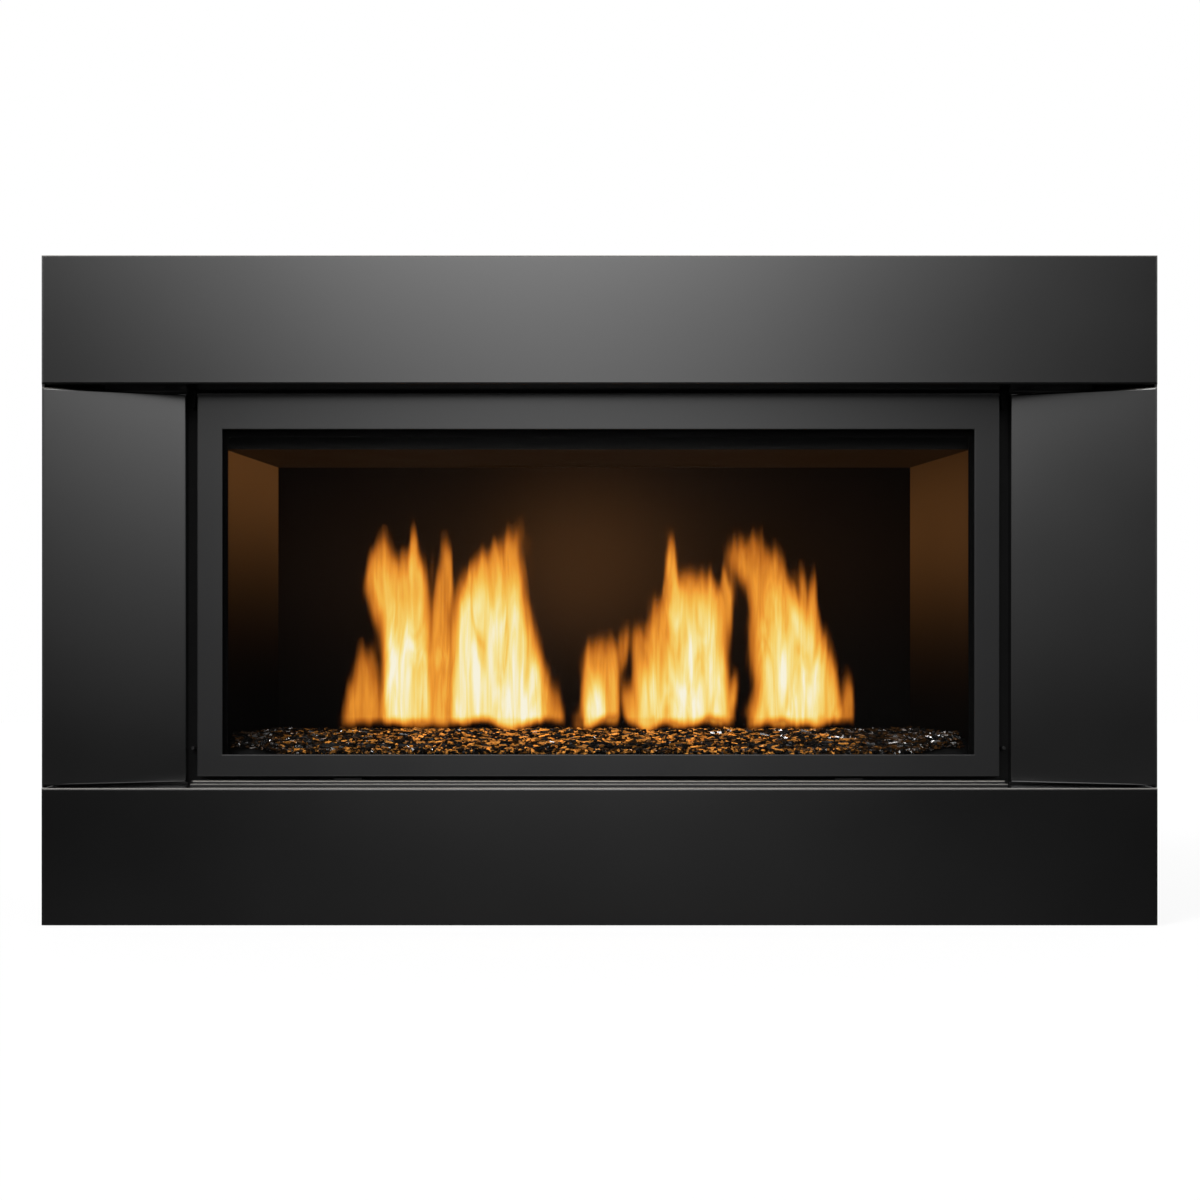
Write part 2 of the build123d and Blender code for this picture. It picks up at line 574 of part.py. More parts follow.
PILOT_POCKET = 20.0
MEDIA_GAP = 0.2
LEDGE_FRONT_Z, LEDGE_BACK_Z = 177.5, 185.5
with BuildPart() as media_bed:
    # the bed in the tray is heaped along the burner
    front_y, back_y = TRAY_FRONT + CASING_T + MEDIA_GAP, TRAY_BACK - CASING_T - MEDIA_GAP
    with BuildSketch(Plane.YZ.offset(-BOX_FRONT_X)):
        with BuildLine():
            crest = ThreePointArc(
                (front_y, MEDIA_FRONT_Z), (CREST_Y, MEDIA_CREST_Z), (back_y, MEDIA_BACK_Z)
            )
            Polyline(crest @ 1, (back_y, TRAY_FLOOR), (front_y, TRAY_FLOOR), crest @ 0)
        make_face()
    extrude(amount=2 * BOX_FRONT_X)
    # a second bank lies on the firebox floor between the tray and the door
    ledge_y0, ledge_y1 = FACE_Y + FACE_T + MEDIA_GAP, TRAY_FRONT - MEDIA_GAP
    with BuildSketch(Plane.YZ.offset(-BOX_FRONT_X)):
        with BuildLine():
            Polyline(
                (ledge_y0, BOX_FLOOR), (ledge_y0, LEDGE_FRONT_Z),
                (ledge_y1, LEDGE_BACK_Z), (ledge_y1, BOX_FLOOR),
                close=True,
            )
        make_face()
    extrude(amount=2 * BOX_FRONT_X)
    with BuildSketch(Plane.XY.offset(BOX_FLOOR)):
        firebox_plan(ledge_y0, TRAY_BACK, -TRAY_GAP - CASING_T - MEDIA_GAP)
    extrude(amount=60, mode=Mode.INTERSECT)
    block(BURNER_X0 - 0.3, BURNER_X1 + 0.3, BURNER_FRONT - 0.3, BURNER_REAR + 0.3, TRAY_FLOOR - 1,
          BURNER_TOP + 0.3, mode=Mode.SUBTRACT)
    block(PILOT_X - PILOT_POCKET, PILOT_X + PILOT_POCKET, PILOT_Y - 13, PILOT_Y + PILOT_POCKET,
          TRAY_FLOOR - 1, 210, mode=Mode.SUBTRACT)
save(media_bed, "media_bed")

# ---- pilot ----------------------------------------------------------------
with BuildPart() as pilot_hood:
    block(PILOT_X - 17, PILOT_X + 17, PILOT_Y - 10, PILOT_Y + 10, TRAY_FLOOR, TRAY_FLOOR + 1.5)
    rod(Plane((PILOT_X, PILOT_Y, TRAY_FLOOR)), 5, 18)
    rod(Plane((PILOT_X, PILOT_Y, TRAY_FLOOR + 18)), 6, 8)
    rod(Plane((PILOT_X, PILOT_Y, TRAY_FLOOR - 1)), 2.2, 19, mode=Mode.SUBTRACT)
    rod(Plane((PILOT_X, PILOT_Y, TRAY_FLOOR + 10)), 4.5, 14, mode=Mode.SUBTRACT)
    block(PILOT_X - 3, PILOT_X + 3, PILOT_Y - 8, PILOT_Y, TRAY_FLOOR + 19, TRAY_FLOOR + 25,
          mode=Mode.SUBTRACT)
    for x in (PILOT_X - 12, PILOT_X + 12):
        rod(Plane((x, PILOT_Y, TRAY_FLOOR - 1)), 2.6, 4, mode=Mode.SUBTRACT)
save(pilot_hood, "pilot_hood")

with BuildPart() as flame_sensor:
    rod(Plane((PILOT_X + 12, PILOT_Y, TRAY_FLOOR + 1.5)), 4, 3)
    rod(Plane((PILOT_X + 12, PILOT_Y, TRAY_FLOOR)), 2.5, 25)
save(flame_sensor, "flame_sensor")

with BuildPart() as igniter_electrode:
    rod(Plane((PILOT_X - 12, PILOT_Y, TRAY_FLOOR + 1.5)), 4, 3)
    rod(Plane((PILOT_X - 12, PILOT_Y, TRAY_FLOOR)), 2.5, 17)
    rod(Plane((PILOT_X - 12, PILOT_Y, TRAY_FLOOR + 17)), 0.9, 7)
save(igniter_electrode, "igniter_electrode")

# ---- gas train ------------------------------------------------------------
ORIFICE_Z = 70.0
SHUTTER_Z0, SHUTTER_Z1 = 82.0, 106.0
MIXER_R, MIXER_T = 11.0, 1.2


def air_windows(length, reach):
    """Cut four upright slots round the mixer's axis."""
    for angle in (0, 90, 180, 270):
        outwards = (cos(radians(angle)), sin(radians(angle)), 0)
        middle = (MIXER_X, CREST_Y, (SHUTTER_Z0 + SHUTTER_Z1) / 2)
        with BuildSketch(Plane(origin=middle, x_dir=(0, 0, 1), z_dir=outwards)) as slot:
            SlotOverall(length, 7)
        extrude(slot.sketch, amount=reach, mode=Mode.SUBTRACT)


with BuildPart() as mixer_tube:
    rod(Plane((MIXER_X, CREST_Y, ORIFICE_Z)), MIXER_R, TRAY_FLOOR + BURNER_T - ORIFICE_Z)
    rod(Plane((MIXER_X, CREST_Y, ORIFICE_Z + 6)), MIXER_R - MIXER_T, 200, mode=Mode.SUBTRACT)
    rod(Plane((MIXER_X, CREST_Y, ORIFICE_Z - 1)), 3.1, 10, mode=Mode.SUBTRACT)
    rod(Plane((MIXER_X, CREST_Y, BOX_FLOOR - CASING_T - 3)), 20, 3)
    rod(Plane((MIXER_X, CREST_Y, BOX_FLOOR - 20)), MIXER_R - MIXER_T, 40, mode=Mode.SUBTRACT)
    air_windows(16, MIXER_R + 2)
save(mixer_tube, "mixer_tube")

SHUTTER_PLAY = 0.08
with BuildPart() as air_shutter:
    rod(Plane((MIXER_X, CREST_Y, SHUTTER_Z0)), MIXER_R + SHUTTER_PLAY + MIXER_T, SHUTTER_Z1 - SHUTTER_Z0)
    block(MIXER_X - 3, MIXER_X + 3, CREST_Y - MIXER_R - 14, CREST_Y - MIXER_R, SHUTTER_Z0, SHUTTER_Z0 + 1.5)
    rod(Plane((MIXER_X, CREST_Y, SHUTTER_Z0 - 1)), MIXER_R + SHUTTER_PLAY, 40, mode=Mode.SUBTRACT)
    air_windows(14, MIXER_R + 4)
save(air_shutter, "air_shutter")

with BuildPart() as gas_valve:
    with BuildSketch(Plane((VALVE_X, VALVE_Y, 48))):
        RectangleRounded(84, 56, 6)
    extrude(amount=52)
    chamfer(gas_valve.faces().sort_by(Axis.Z)[-1].edges(), length=3)
    for x in (PILOT_KNOB_X, FLAME_KNOB_X):
        rod(facing_front(x, VALVE_Y - 28, KNOB_Z), 9, 7)
    for side in (-1, 1):
        port = Plane(origin=(VALVE_X + side * 42, VALVE_Y, VALVE_Z), x_dir=(0, 1, 0), z_dir=(side, 0, 0))
        rod(port, 11, 6)
    # the pilot spindle's well and the flame knob's fixed stem
    rod(facing_front(PILOT_KNOB_X, VALVE_Y - 12, KNOB_Z), 3.08, 40, mode=Mode.SUBTRACT)
    rod(facing_front(FLAME_KNOB_X, VALVE_Y - 35, KNOB_Z), 3.0, 14)
    # two legs stand on the base pan
    for x in (VALVE_X - 30, VALVE_X + 30):
        block(x - 6, x + 6, VALVE_Y - 12, VALVE_Y + 12, CASING_LOW + CASING_T, 48)
save(gas_valve, "gas_valve")

KNOB_FACE = PANEL_Y - 13.5
PLATE_X0, PLATE_X1, PLATE_TOP, PLATE_FOOT = -255.0, 12.0, 128.0, 26.0
with BuildPart() as control_plate:
    foot = CASING_LOW + CASING_T
    block(PLATE_X0, PLATE_X1, PANEL_Y, PANEL_Y + SHEET, foot, PLATE_TOP)
    block(PLATE_X0, PLATE_X1, PANEL_Y, PANEL_Y + PLATE_FOOT, foot, foot + SHEET)
    for x in (PILOT_KNOB_X, FLAME_KNOB_X):
        rod(facing_front(x, PANEL_Y + 3, KNOB_Z), 5, 6, mode=Mode.SUBTRACT)
    rod(facing_front(IGNITER_X, PANEL_Y + 3, KNOB_Z), 8.2, 6, mode=Mode.SUBTRACT)
    rod(facing_front(BLOWER_KNOB_X, PANEL_Y + 3, KNOB_Z), 4, 6, mode=Mode.SUBTRACT)
    block(ROCKER_X - 10.5, ROCKER_X + 10.5, PANEL_Y - 1, PANEL_Y + 4, KNOB_Z - 14.5, KNOB_Z + 14.5,
          mode=Mode.SUBTRACT)
save(control_plate, "control_plate")

PRESS = 3.0                 # travel of the pilot spindle
with BuildPart() as pilot_spindle:
    rod(facing_front(PILOT_KNOB_X, VALVE_Y - 12 - PRESS - 0.5, KNOB_Z), 3.0, 30)
save(pilot_spindle, "pilot_spindle")


def knob(x, face_y, radius, depth, bore_r, bore_depth):
    """A round skirt and hub with a grip bar across them, its back towards the control plate."""
    back = facing_front(x, face_y + depth, KNOB_Z)
    rod(back, radius, 3)
    rod(back, radius - 3.5, depth - 1.2)
    with BuildSketch(back) as bar:
        SlotOverall(2 * radius - 2, 7, rotation=90)
    extrude(bar.sketch, amount=depth)
    rod(back, bore_r, bore_depth, mode=Mode.SUBTRACT)
    # a pointer groove in the upper end of the bar
    block(x - 0.7, x + 0.7, face_y - 1, face_y + 0.7, KNOB_Z + 3, KNOB_Z + radius, mode=Mode.SUBTRACT)


with BuildPart() as pilot_knob:
    knob(PILOT_KNOB_X, KNOB_FACE, 13, 9.5, 3.06, 8)
save(pilot_knob, "pilot_knob")

with BuildPart() as flame_height_knob:
    knob(FLAME_KNOB_X, KNOB_FACE, 13, 12.5, 3.06, 10.7)
save(flame_height_knob, "flame_height_knob")

with BuildPart() as igniter_body:
    rod(facing_front(IGNITER_X, PANEL_Y, KNOB_Z), 11, 2)
    rod(facing_front(IGNITER_X, PANEL_Y + 18, KNOB_Z), 8, 19)
    rod(facing_front(IGNITER_X, PANEL_Y + 14, KNOB_Z), 6.3, 40, mode=Mode.SUBTRACT)
save(igniter_body, "igniter_body")

with BuildPart() as igniter_button:
    rod(facing_front(IGNITER_X, PANEL_Y + 6, KNOB_Z), 6.0, 17)
    chamfer(igniter_button.faces().sort_by(Axis.Y)[0].edges(), length=1.2)
save(igniter_button, "igniter_button")

with BuildPart() as switch_housing:
    block(ROCKER_X - 12.5, ROCKER_X + 12.5, PANEL_Y - 2, PANEL_Y, KNOB_Z - 17, KNOB_Z + 17)
    block(ROCKER_X - 10, ROCKER_X + 10, PANEL_Y - 1, PANEL_Y + 20, KNOB_Z - 14, KNOB_Z + 14)
    block(ROCKER_X - 7.5, ROCKER_X + 7.5, PANEL_Y - 3, PANEL_Y + 12, KNOB_Z - 12, KNOB_Z + 12,
          mode=Mode.SUBTRACT)
    rod(facing_right(ROCKER_X - 8, PANEL_Y + 1, KNOB_Z), 1.5, 16)
save(switch_housing, "switch_housing")

with BuildPart() as rocker_switch:
    with BuildSketch(Plane.YZ.offset(ROCKER_X - 7)):
        with BuildLine():
            Polyline(
                (PANEL_Y - 4.0, KNOB_Z + 9.6), (PANEL_Y - 2.2, KNOB_Z), (PANEL_Y - 4.0, KNOB_Z - 9.6),
                (PANEL_Y + 3, KNOB_Z - 9.0), (PANEL_Y + 6, KNOB_Z), (PANEL_Y + 3, KNOB_Z + 9.0),
                close=True,
            )
        make_face()
    extrude(amount=14)
    rod(facing_right(ROCKER_X - 8, PANEL_Y + 1, KNOB_Z), 1.56, 16, mode=Mode.SUBTRACT)
save(rocker_switch, "rocker_switch")

with BuildPart() as speed_control:
    block(BLOWER_KNOB_X - 16, BLOWER_KNOB_X + 16, PANEL_Y + SHEET, PANEL_Y + 22, KNOB_Z - 16, KNOB_Z + 16)
    rod(facing_front(BLOWER_KNOB_X, PANEL_Y + SHEET, KNOB_Z), 3.0, 12)
save(speed_control, "speed_control")

with BuildPart() as blower_speed_knob:
    knob(BLOWER_KNOB_X, KNOB_FACE, 11, 12.5, 3.06, 10.7)
save(blower_speed_knob, "blower_speed_knob")

# gas comes in through the left side: flare fitting, shut-off valve, then a straight pipe
STOP_X0, STOP_X1 = -430.0, -388.0
FLARE_R = 7.94
with BuildPart() as shutoff_valve:
    rod(facing_right(-CASING_X - 22, VALVE_Y, VALVE_Z), FLARE_R, STOP_X0 + CASING_X + 22)
    with BuildSketch(facing_right(-CASING_X + CASING_T, VALVE_Y, VALVE_Z)):
        RegularPolygon(radius=14, side_count=6)
    extrude(amount=10)
    with BuildSketch(facing_right(STOP_X0, VALVE_Y, VALVE_Z)):
        RegularPolygon(radius=15, side_count=8)
    extrude(amount=STOP_X1 - STOP_X0)
    rod(facing_right(-CASING_X - 23, VALVE_Y, VALVE_Z), 4.5, 110, mode=Mode.SUBTRACT)
    middle = (STOP_X0 + STOP_X1) / 2
    rod(Plane((middle, VALVE_Y, VALVE_Z + 8)), 6, 12)
    rod(Plane((middle, VALVE_Y, VALVE_Z + 18)), 3, 12)
    block(middle - 8, middle + 8, VALVE_Y - 6, VALVE_Y + 6, CASING_LOW + CASING_T, VALVE_Z - 8)
    with BuildSketch(Plane((middle, VALVE_Y, VALVE_Z + 23.8))):
        RegularPolygon(radius=6, side_count=6)
    extrude(amount=3)
save(shutoff_valve, "shutoff_valve")

with BuildPart() as shutoff_lever:
    middle = (STOP_X0 + STOP_X1) / 2
    low = VALVE_Z + 20.4
    with BuildSketch(Plane.XY.offset(low)):
        with Locations((middle + 22, VALVE_Y)):
            SlotOverall(64, 13)
        with Locations((middle, VALVE_Y)):
            Circle(9)
            Circle(3.06, mode=Mode.SUBTRACT)
    extrude(amount=3)
save(shutoff_lever, "shutoff_lever")

with BuildPart() as supply_pipe:
    rod(facing_right(STOP_X1, VALVE_Y, VALVE_Z), 6.35, VALVE_X - 48 - STOP_X1)
    rod(facing_right(STOP_X1 - 1, VALVE_Y, VALVE_Z), 5.2, 400, mode=Mode.SUBTRACT)
    for x in (STOP_X1, VALVE_X - 62):
        with BuildSketch(facing_right(x, VALVE_Y, VALVE_Z)):
            RegularPolygon(radius=11, side_count=6)
            Circle(6.35, mode=Mode.SUBTRACT)
        extrude(amount=14)
save(supply_pipe, "supply_pipe")

with BuildPart() as manifold_pipe:
    with BuildLine() as route:
        FilletPolyline(
            (VALVE_X + 48, VALVE_Y, VALVE_Z), (MIXER_X - 28, VALVE_Y, VALVE_Z), (MIXER_X, VALVE_Y + 28, 46),
            (MIXER_X, CREST_Y, 46), (MIXER_X, CREST_Y, ORIFICE_Z),
            radius=16,
        )
    with BuildSketch(facing_right(VALVE_X + 48, VALVE_Y, VALVE_Z)):
        Circle(4.8)
    sweep(path=route.line)
save(manifold_pipe, "manifold_pipe")

with BuildPart() as pilot_tube:
    with BuildLine() as route:
        FilletPolyline(
            (VALVE_X + 20, VALVE_Y + 28, 80), (VALVE_X + 20, PILOT_Y, 80), (PILOT_X, PILOT_Y, 112),
            (PILOT_X, PILOT_Y, TRAY_FLOOR + 9),
            radius=16,
        )
    with BuildSketch(Plane.XZ.offset(-(VALVE_Y + 28))):
        with Locations((VALVE_X + 20, 80)):
            Circle(2.0)
    sweep(path=route.line)
save(pilot_tube, "pilot_tube")

# ---- convection blower ----------------------------------------------------
def blade_profile(angle):
    """One forward-curved blade of the cross-flow impeller, as a face at its angle."""
    lean = radians(angle)
    bend = radians(angle + 9)
    tip = radians(angle + 24)
    mid_r = (IMPELLER_R + IMPELLER_BORE_R) / 2
    thin = 0.45
    with BuildLine() as outline:
        outer = ThreePointArc(
            (IMPELLER_BORE_R * cos(lean), IMPELLER_BORE_R * sin(lean)),
            ((mid_r + thin) * cos(bend), (mid_r + thin) * sin(bend)),
            (IMPELLER_R * cos(tip), IMPELLER_R * sin(tip)),
        )
        step = radians(2.2)
        back = ThreePointArc(
            (IMPELLER_R * cos(tip + step), IMPELLER_R * sin(tip + step)),
            ((mid_r - thin) * cos(bend + step), (mid_r - thin) * sin(bend + step)),
            (IMPELLER_BORE_R * cos(lean + step), IMPELLER_BORE_R * sin(lean + step)),
        )
        Line(outer @ 1, back @ 0)
        Line(back @ 1, outer @ 0)
    make_face(outline.edges())


SHAFT_R = 4.0
with BuildPart() as blower_impeller:
    with BuildSketch(facing_right(IMPELLER_X0, BLOWER_Y, BLOWER_Z)):
        for index in range(BLADES):
            blade_profile(index * 360 / BLADES)
    extrude(amount=IMPELLER_X1 - IMPELLER_X0)
    for x in (IMPELLER_X0, (IMPELLER_X0 + IMPELLER_X1) / 2 - 1, IMPELLER_X1 - 2):
        rod(facing_right(x, BLOWER_Y, BLOWER_Z), IMPELLER_R + 1, 2)
    rod(facing_right(IMPELLER_X0 - 9, BLOWER_Y, BLOWER_Z), SHAFT_R, 10)
    rod(facing_right(IMPELLER_X1 - 1, BLOWER_Y, BLOWER_Z), SHAFT_R, 18)
save(blower_impeller, "blower_impeller")

HOUSING_X0, HOUSING_X1 = IMPELLER_X0 - 5, IMPELLER_X1 + 5
with BuildPart() as blower_housing:
    # a rear scroll and a front cut-off guide between two end plates
    with BuildSketch(Plane.YZ.offset(HOUSING_X0)):
        with BuildLine() as scroll:
            RadiusArc((BLOWER_Y - 20, BLOWER_Z - 42), (BLOWER_Y + 42, BLOWER_Z + 6), -50)
            Line((BLOWER_Y + 42, BLOWER_Z + 6), (BLOWER_Y + 42, 162))
        trace(scroll.line, line_width=1.2)
        with BuildLine() as guide:
            Polyline(
                (BLOWER_Y - 38, BLOWER_Z + 14), (BLOWER_Y - 22, BLOWER_Z + 30), (BLOWER_Y - 22, 162),
            )
        trace(guide.line, line_width=1.2)
    extrude(amount=HOUSING_X1 - HOUSING_X0)
    for x in (HOUSING_X0, HOUSING_X1 - 2):
        with BuildSketch(facing_right(x, 0, 0)):
            with Locations((BLOWER_Y + 1, (CASING_LOW + CASING_T + 162) / 2)):
                Rectangle(84, 162 - CASING_LOW - CASING_T)
            with Locations((BLOWER_Y, BLOWER_Z)):
                Circle(SHAFT_R + 0.06, mode=Mode.SUBTRACT)
        extrude(amount=2)
save(blower_housing, "blower_housing")

with BuildPart() as blower_motor:
    start = HOUSING_X1 + 8
    rod(facing_right(start, BLOWER_Y, BLOWER_Z), 30, 46)
    chamfer(blower_motor.faces().filter_by(GeomType.PLANE).edges(), length=3)
    with BuildSketch(facing_right(start + 8, BLOWER_Y, BLOWER_Z)):
        Rectangle(64, 64)
    extrude(amount=26)
    for y in (BLOWER_Y - 20, BLOWER_Y + 20):
        block(start + 10, start + 32, y - 8, y + 8, CASING_LOW + CASING_T, BLOWER_Z - 24)
    rod(facing_right(start - 1, BLOWER_Y, BLOWER_Z), SHAFT_R + 0.06, 6, mode=Mode.SUBTRACT)
save(blower_motor, "blower_motor")

# ---- flue -----------------------------------------------------------------
with BuildPart() as flue_collars:
    # exhaust on the right, intake on the left: each is a duct with a flange on the casing's top
    for side in (-1, 1):
        foot = Plane((side * FLUE_X, FLUE_Y, WRAP_TOP + CASING_T))
        seat = Plane((side * FLUE_X, FLUE_Y, CASING_HIGH))
        duct = FLUE_R - 2
        rod(foot, duct, CASING_HIGH - WRAP_TOP - CASING_T)
        rod(seat, FLUE_R + 14, 1.5)
        rod(seat, FLUE_R, FLUE_TOP - CASING_HIGH)
        rod(foot, duct - FLUE_T, 200, mode=Mode.SUBTRACT)
        rod(seat.offset(4), FLUE_R - FLUE_T, 100, mode=Mode.SUBTRACT)
save(flue_collars, "flue_collars")
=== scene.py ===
# %% [markdown]
# # A linear gas fireplace insert
# The metal, the door and everything that moves come in as finished solids, in metres, with +Z up
# and the front facing -Y. This lesson dresses them: paint, glass, enamel, a bed of crushed glass
# and a row of flames. The solids are never moved, so every new piece takes its place from them.

# %% Load the solids
import bpy
import json
import math
import random
from mathutils import Euler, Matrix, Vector, noise


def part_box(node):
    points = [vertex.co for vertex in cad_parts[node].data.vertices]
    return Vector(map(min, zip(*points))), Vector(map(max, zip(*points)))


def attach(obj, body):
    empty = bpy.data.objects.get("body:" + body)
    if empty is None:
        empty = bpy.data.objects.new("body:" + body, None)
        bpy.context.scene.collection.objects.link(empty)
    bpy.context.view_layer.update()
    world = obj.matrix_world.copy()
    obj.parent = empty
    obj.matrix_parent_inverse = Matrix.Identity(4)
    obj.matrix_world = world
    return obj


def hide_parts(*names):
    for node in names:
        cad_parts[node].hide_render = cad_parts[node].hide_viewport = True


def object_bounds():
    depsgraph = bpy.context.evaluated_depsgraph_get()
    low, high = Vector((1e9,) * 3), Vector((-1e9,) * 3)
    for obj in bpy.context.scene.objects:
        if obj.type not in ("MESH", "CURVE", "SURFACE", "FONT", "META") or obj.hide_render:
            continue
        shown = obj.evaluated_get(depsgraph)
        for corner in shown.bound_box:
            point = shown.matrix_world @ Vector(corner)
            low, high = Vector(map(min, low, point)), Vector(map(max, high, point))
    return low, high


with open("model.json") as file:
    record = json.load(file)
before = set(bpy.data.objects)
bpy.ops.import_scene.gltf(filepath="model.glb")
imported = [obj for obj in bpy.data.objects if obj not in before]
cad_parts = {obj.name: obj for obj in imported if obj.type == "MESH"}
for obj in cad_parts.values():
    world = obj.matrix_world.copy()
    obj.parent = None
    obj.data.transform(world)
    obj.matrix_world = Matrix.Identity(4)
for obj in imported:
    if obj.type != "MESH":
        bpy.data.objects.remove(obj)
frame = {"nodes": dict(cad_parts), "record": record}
solid_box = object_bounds()
nodes = frame["nodes"]
BODY = "insert_body"
print("solids:", len(nodes), "box:", [tuple(round(v, 3) for v in corner) for corner in solid_box])

# %% [markdown]
# ## Arithmetic on sockets
# A finish is easier to read as a sum than as a picture of nodes. A Wire wraps one output socket,
# and its operators add Math nodes, so `mask * 0.5 + 0.2` is a line of Python and two nodes at once.

# %% A wire that can be added and scaled
class Wire:
    """One output socket of a finish, with arithmetic."""

    def __init__(self, finish, socket):
        self.finish = finish
        self.socket = socket

    def math(self, operation, first, second=0.0):
        return self.finish.node("ShaderNodeMath", {"operation": operation}, {0: first, 1: second})

    def __add__(self, other):
        return self.math("ADD", self, other)

    def __sub__(self, other):
        return self.math("SUBTRACT", self, other)

    def __mul__(self, other):
        return self.math("MULTIPLY", self, other)

    def __truediv__(self, other):
        return self.math("DIVIDE", self, other)

    def __abs__(self):
        return self.math("ABSOLUTE", self)

    def clamp(self):
        return self.finish.node("ShaderNodeClamp", {}, {"Value": self})

    __radd__ = __add__


# %% [markdown]
# A Graph is one node tree. Its `node` method makes any node: the settings are put on first, because
# some of them change which sockets exist, and then the sockets get their values or links.

# %% A graph that builds its own nodes
class Graph:
    """A node tree, emptied and ready to be filled."""

    def __init__(self, owner):
        owner.use_nodes = True
        self.tree = owner.node_tree
        self.tree.nodes.clear()

    def node(self, kind, settings=None, inputs=None, output=0):
        made = self.tree.nodes.new(kind)
        for key, value in (settings or {}).items():
            if key == "stops":
                self.set_stops(made.color_ramp, value)
            else:
                setattr(made, key, value)
        self.plug(made, inputs or {})
        return Wire(self, made.outputs[output]) if made.outputs else made

    def set_stops(self, ramp, stops):
        while len(ramp.elements) < len(stops):
            ramp.elements.new(0.5)
        for element, (place, colour) in zip(ramp.elements, stops):
            element.position = place
            element.color = (*colour, 1.0)

    def plug(self, target, inputs):
        for key, value in inputs.items():
            socket = target.inputs[key]
            if isinstance(value, Wire):
                self.tree.links.new(value.socket, socket)
            else:
                socket.default_value = value

    def split(self, vector):
        """The three parts of a vector, as wires."""
        parts = self.node("ShaderNodeSeparateXYZ", {}, {0: vector}).socket.node
        return [Wire(self, socket) for socket in parts.outputs]

    def bell(self, *reaches):
        """A smooth hill: 1 where every reach is 0, a third where one of them is 1."""
        fall = sum(reach * reach for reach in reaches) * -1.0
        return self.node("ShaderNodeMath", {"operation": "EXPONENT"}, {0: fall})

    def spread(self, value, low, high, to_low=0.0, to_high=1.0):
        """Maps a value's range from low..high to another range, clamped."""
        sockets = {
            "Value": value, "From Min": low, "From Max": high, "To Min": to_low, "To Max": to_high,
        }
        return self.node("ShaderNodeMapRange", {"clamp": True}, sockets)


# %% [markdown]
# A Finish is the graph of one material. It ends in a Principled shader, which `surface` fills in,
# and it has short names for the nodes that nearly every finish needs.

# %% A finish
class Finish(Graph):
    """One material that ends in a Principled shader."""

    def __init__(self, name):
        self.material = bpy.data.materials.new(name)
        super().__init__(self.material)
        self.shader = self.tree.nodes.new("ShaderNodeBsdfPrincipled")
        self.output = self.tree.nodes.new("ShaderNodeOutputMaterial")
        self.tree.links.new(self.shader.outputs[0], self.output.inputs["Surface"])

    def surface(self, inputs):
        self.plug(self.shader, inputs)

    def place(self, stretch=(1.0, 1.0, 1.0)):
        """The point on the object in metres, stretched for streaks and grain."""
        spot = self.node("ShaderNodeTexCoord", output="Object")
        if stretch == (1.0, 1.0, 1.0):
            return spot
        return self.node("ShaderNodeVectorMath", {"operation": "MULTIPLY"}, {0: spot, 1: stretch})

    def noise(self, scale, detail=3.0, stretch=(1.0, 1.0, 1.0), distortion=0.0):
        where = self.place(stretch)
        sockets = {"Vector": where, "Scale": scale, "Detail": detail, "Distortion": distortion}
        return self.node("ShaderNodeTexNoise", {}, sockets, output="Fac")

    def mix(self, factor, first, second):
        first = first if isinstance(first, Wire) else (*first, 1.0)
        second = second if isinstance(second, Wire) else (*second, 1.0)
        settings = {"data_type": "RGBA"}
        return self.node("ShaderNodeMix", settings, {0: factor, 6: first, 7: second}, output=2)

    def bump(self, height, depth, strength=1.0):
        sockets = {"Height": height, "Distance": depth, "Strength": strength}
        return self.node("ShaderNodeBump", {}, sockets, output="Normal")


def shade(colour, factor):
    """A lighter or darker shade of a colour."""
    return tuple(channel * factor for channel in colour)


print("shader helpers ready")

# %% [markdown]
# ## The camera
# The photograph looks straight at the wall from 2.2 m in front of the surround, with the lens left
# of and below the middle of the picture. A shifted lens keeps every upright upright, where turning
# the camera would make the surround taper.

# %% Set the camera
FRONT_Y = solid_box[0][1]
CAMERA_DISTANCE = 2.2
CAMERA_X, CAMERA_Z = -0.0438, 0.289
SENSOR_WIDTH, FOCAL_LENGTH = 36.0, 63.0
SHIFT_X, SHIFT_Y = 0.0352, 0.0422
camera = bpy.data.objects.new("camera", bpy.data.cameras.new("camera"))
bpy.context.scene.collection.objects.link(camera)
camera.location = (CAMERA_X, FRONT_Y - CAMERA_DISTANCE, CAMERA_Z)
camera.rotation_euler = (math.radians(90), 0, 0)
camera.data.sensor_width = SENSOR_WIDTH
camera.data.lens = FOCAL_LENGTH
camera.data.shift_x = SHIFT_X
camera.data.shift_y = SHIFT_Y
bpy.context.scene.camera = camera
bpy.context.scene.view_settings.view_transform = "Standard"
print("camera at", tuple(round(v, 3) for v in camera.location))

# %% [markdown]
# ## Satin powder coat
# The surround is folded steel with a satin charcoal powder coat. Powder melts into a skin with a
# very fine orange peel, so the colour is nearly even and the gloss is broken up by tiny bumps. A
# noise at two scales gives the peel, and a slow noise lets the gloss wander a little, as sprayed
# powder does.
#
# A thin bright line is painted into the colour along the front edges: a painted highlight, where
# the folds catch light from above. Each line is a narrow hill of depth and height, so a mask needs
# no painting.

# %% Painted edge highlights
# painted highlight: the grey of the bright lines painted along the front edges
EDGE_HIGHLIGHT_GREY = (0.42, 0.40, 0.37)
# each painted highlight line: depth and height in metres, how far it reaches in both, and how
# strong it is
SURROUND_HIGHLIGHT_EDGES = (
    (-0.2096, 0.7031, 0.0012, 0.0007, 0.62),
    (-0.2096, 0.1446, 0.0012, 0.0007, 0.60),
    (-0.2090, 0.5646, 0.0120, 0.0007, 0.55),
)
# painted highlight lines on the two step edges of the sill
SILL_HIGHLIGHT_EDGES = (
    (-0.1650, 0.1498, 0.0016, 0.0007, 1.0),
    (-0.1800, 0.1474, 0.0016, 0.0007, 0.6),
)


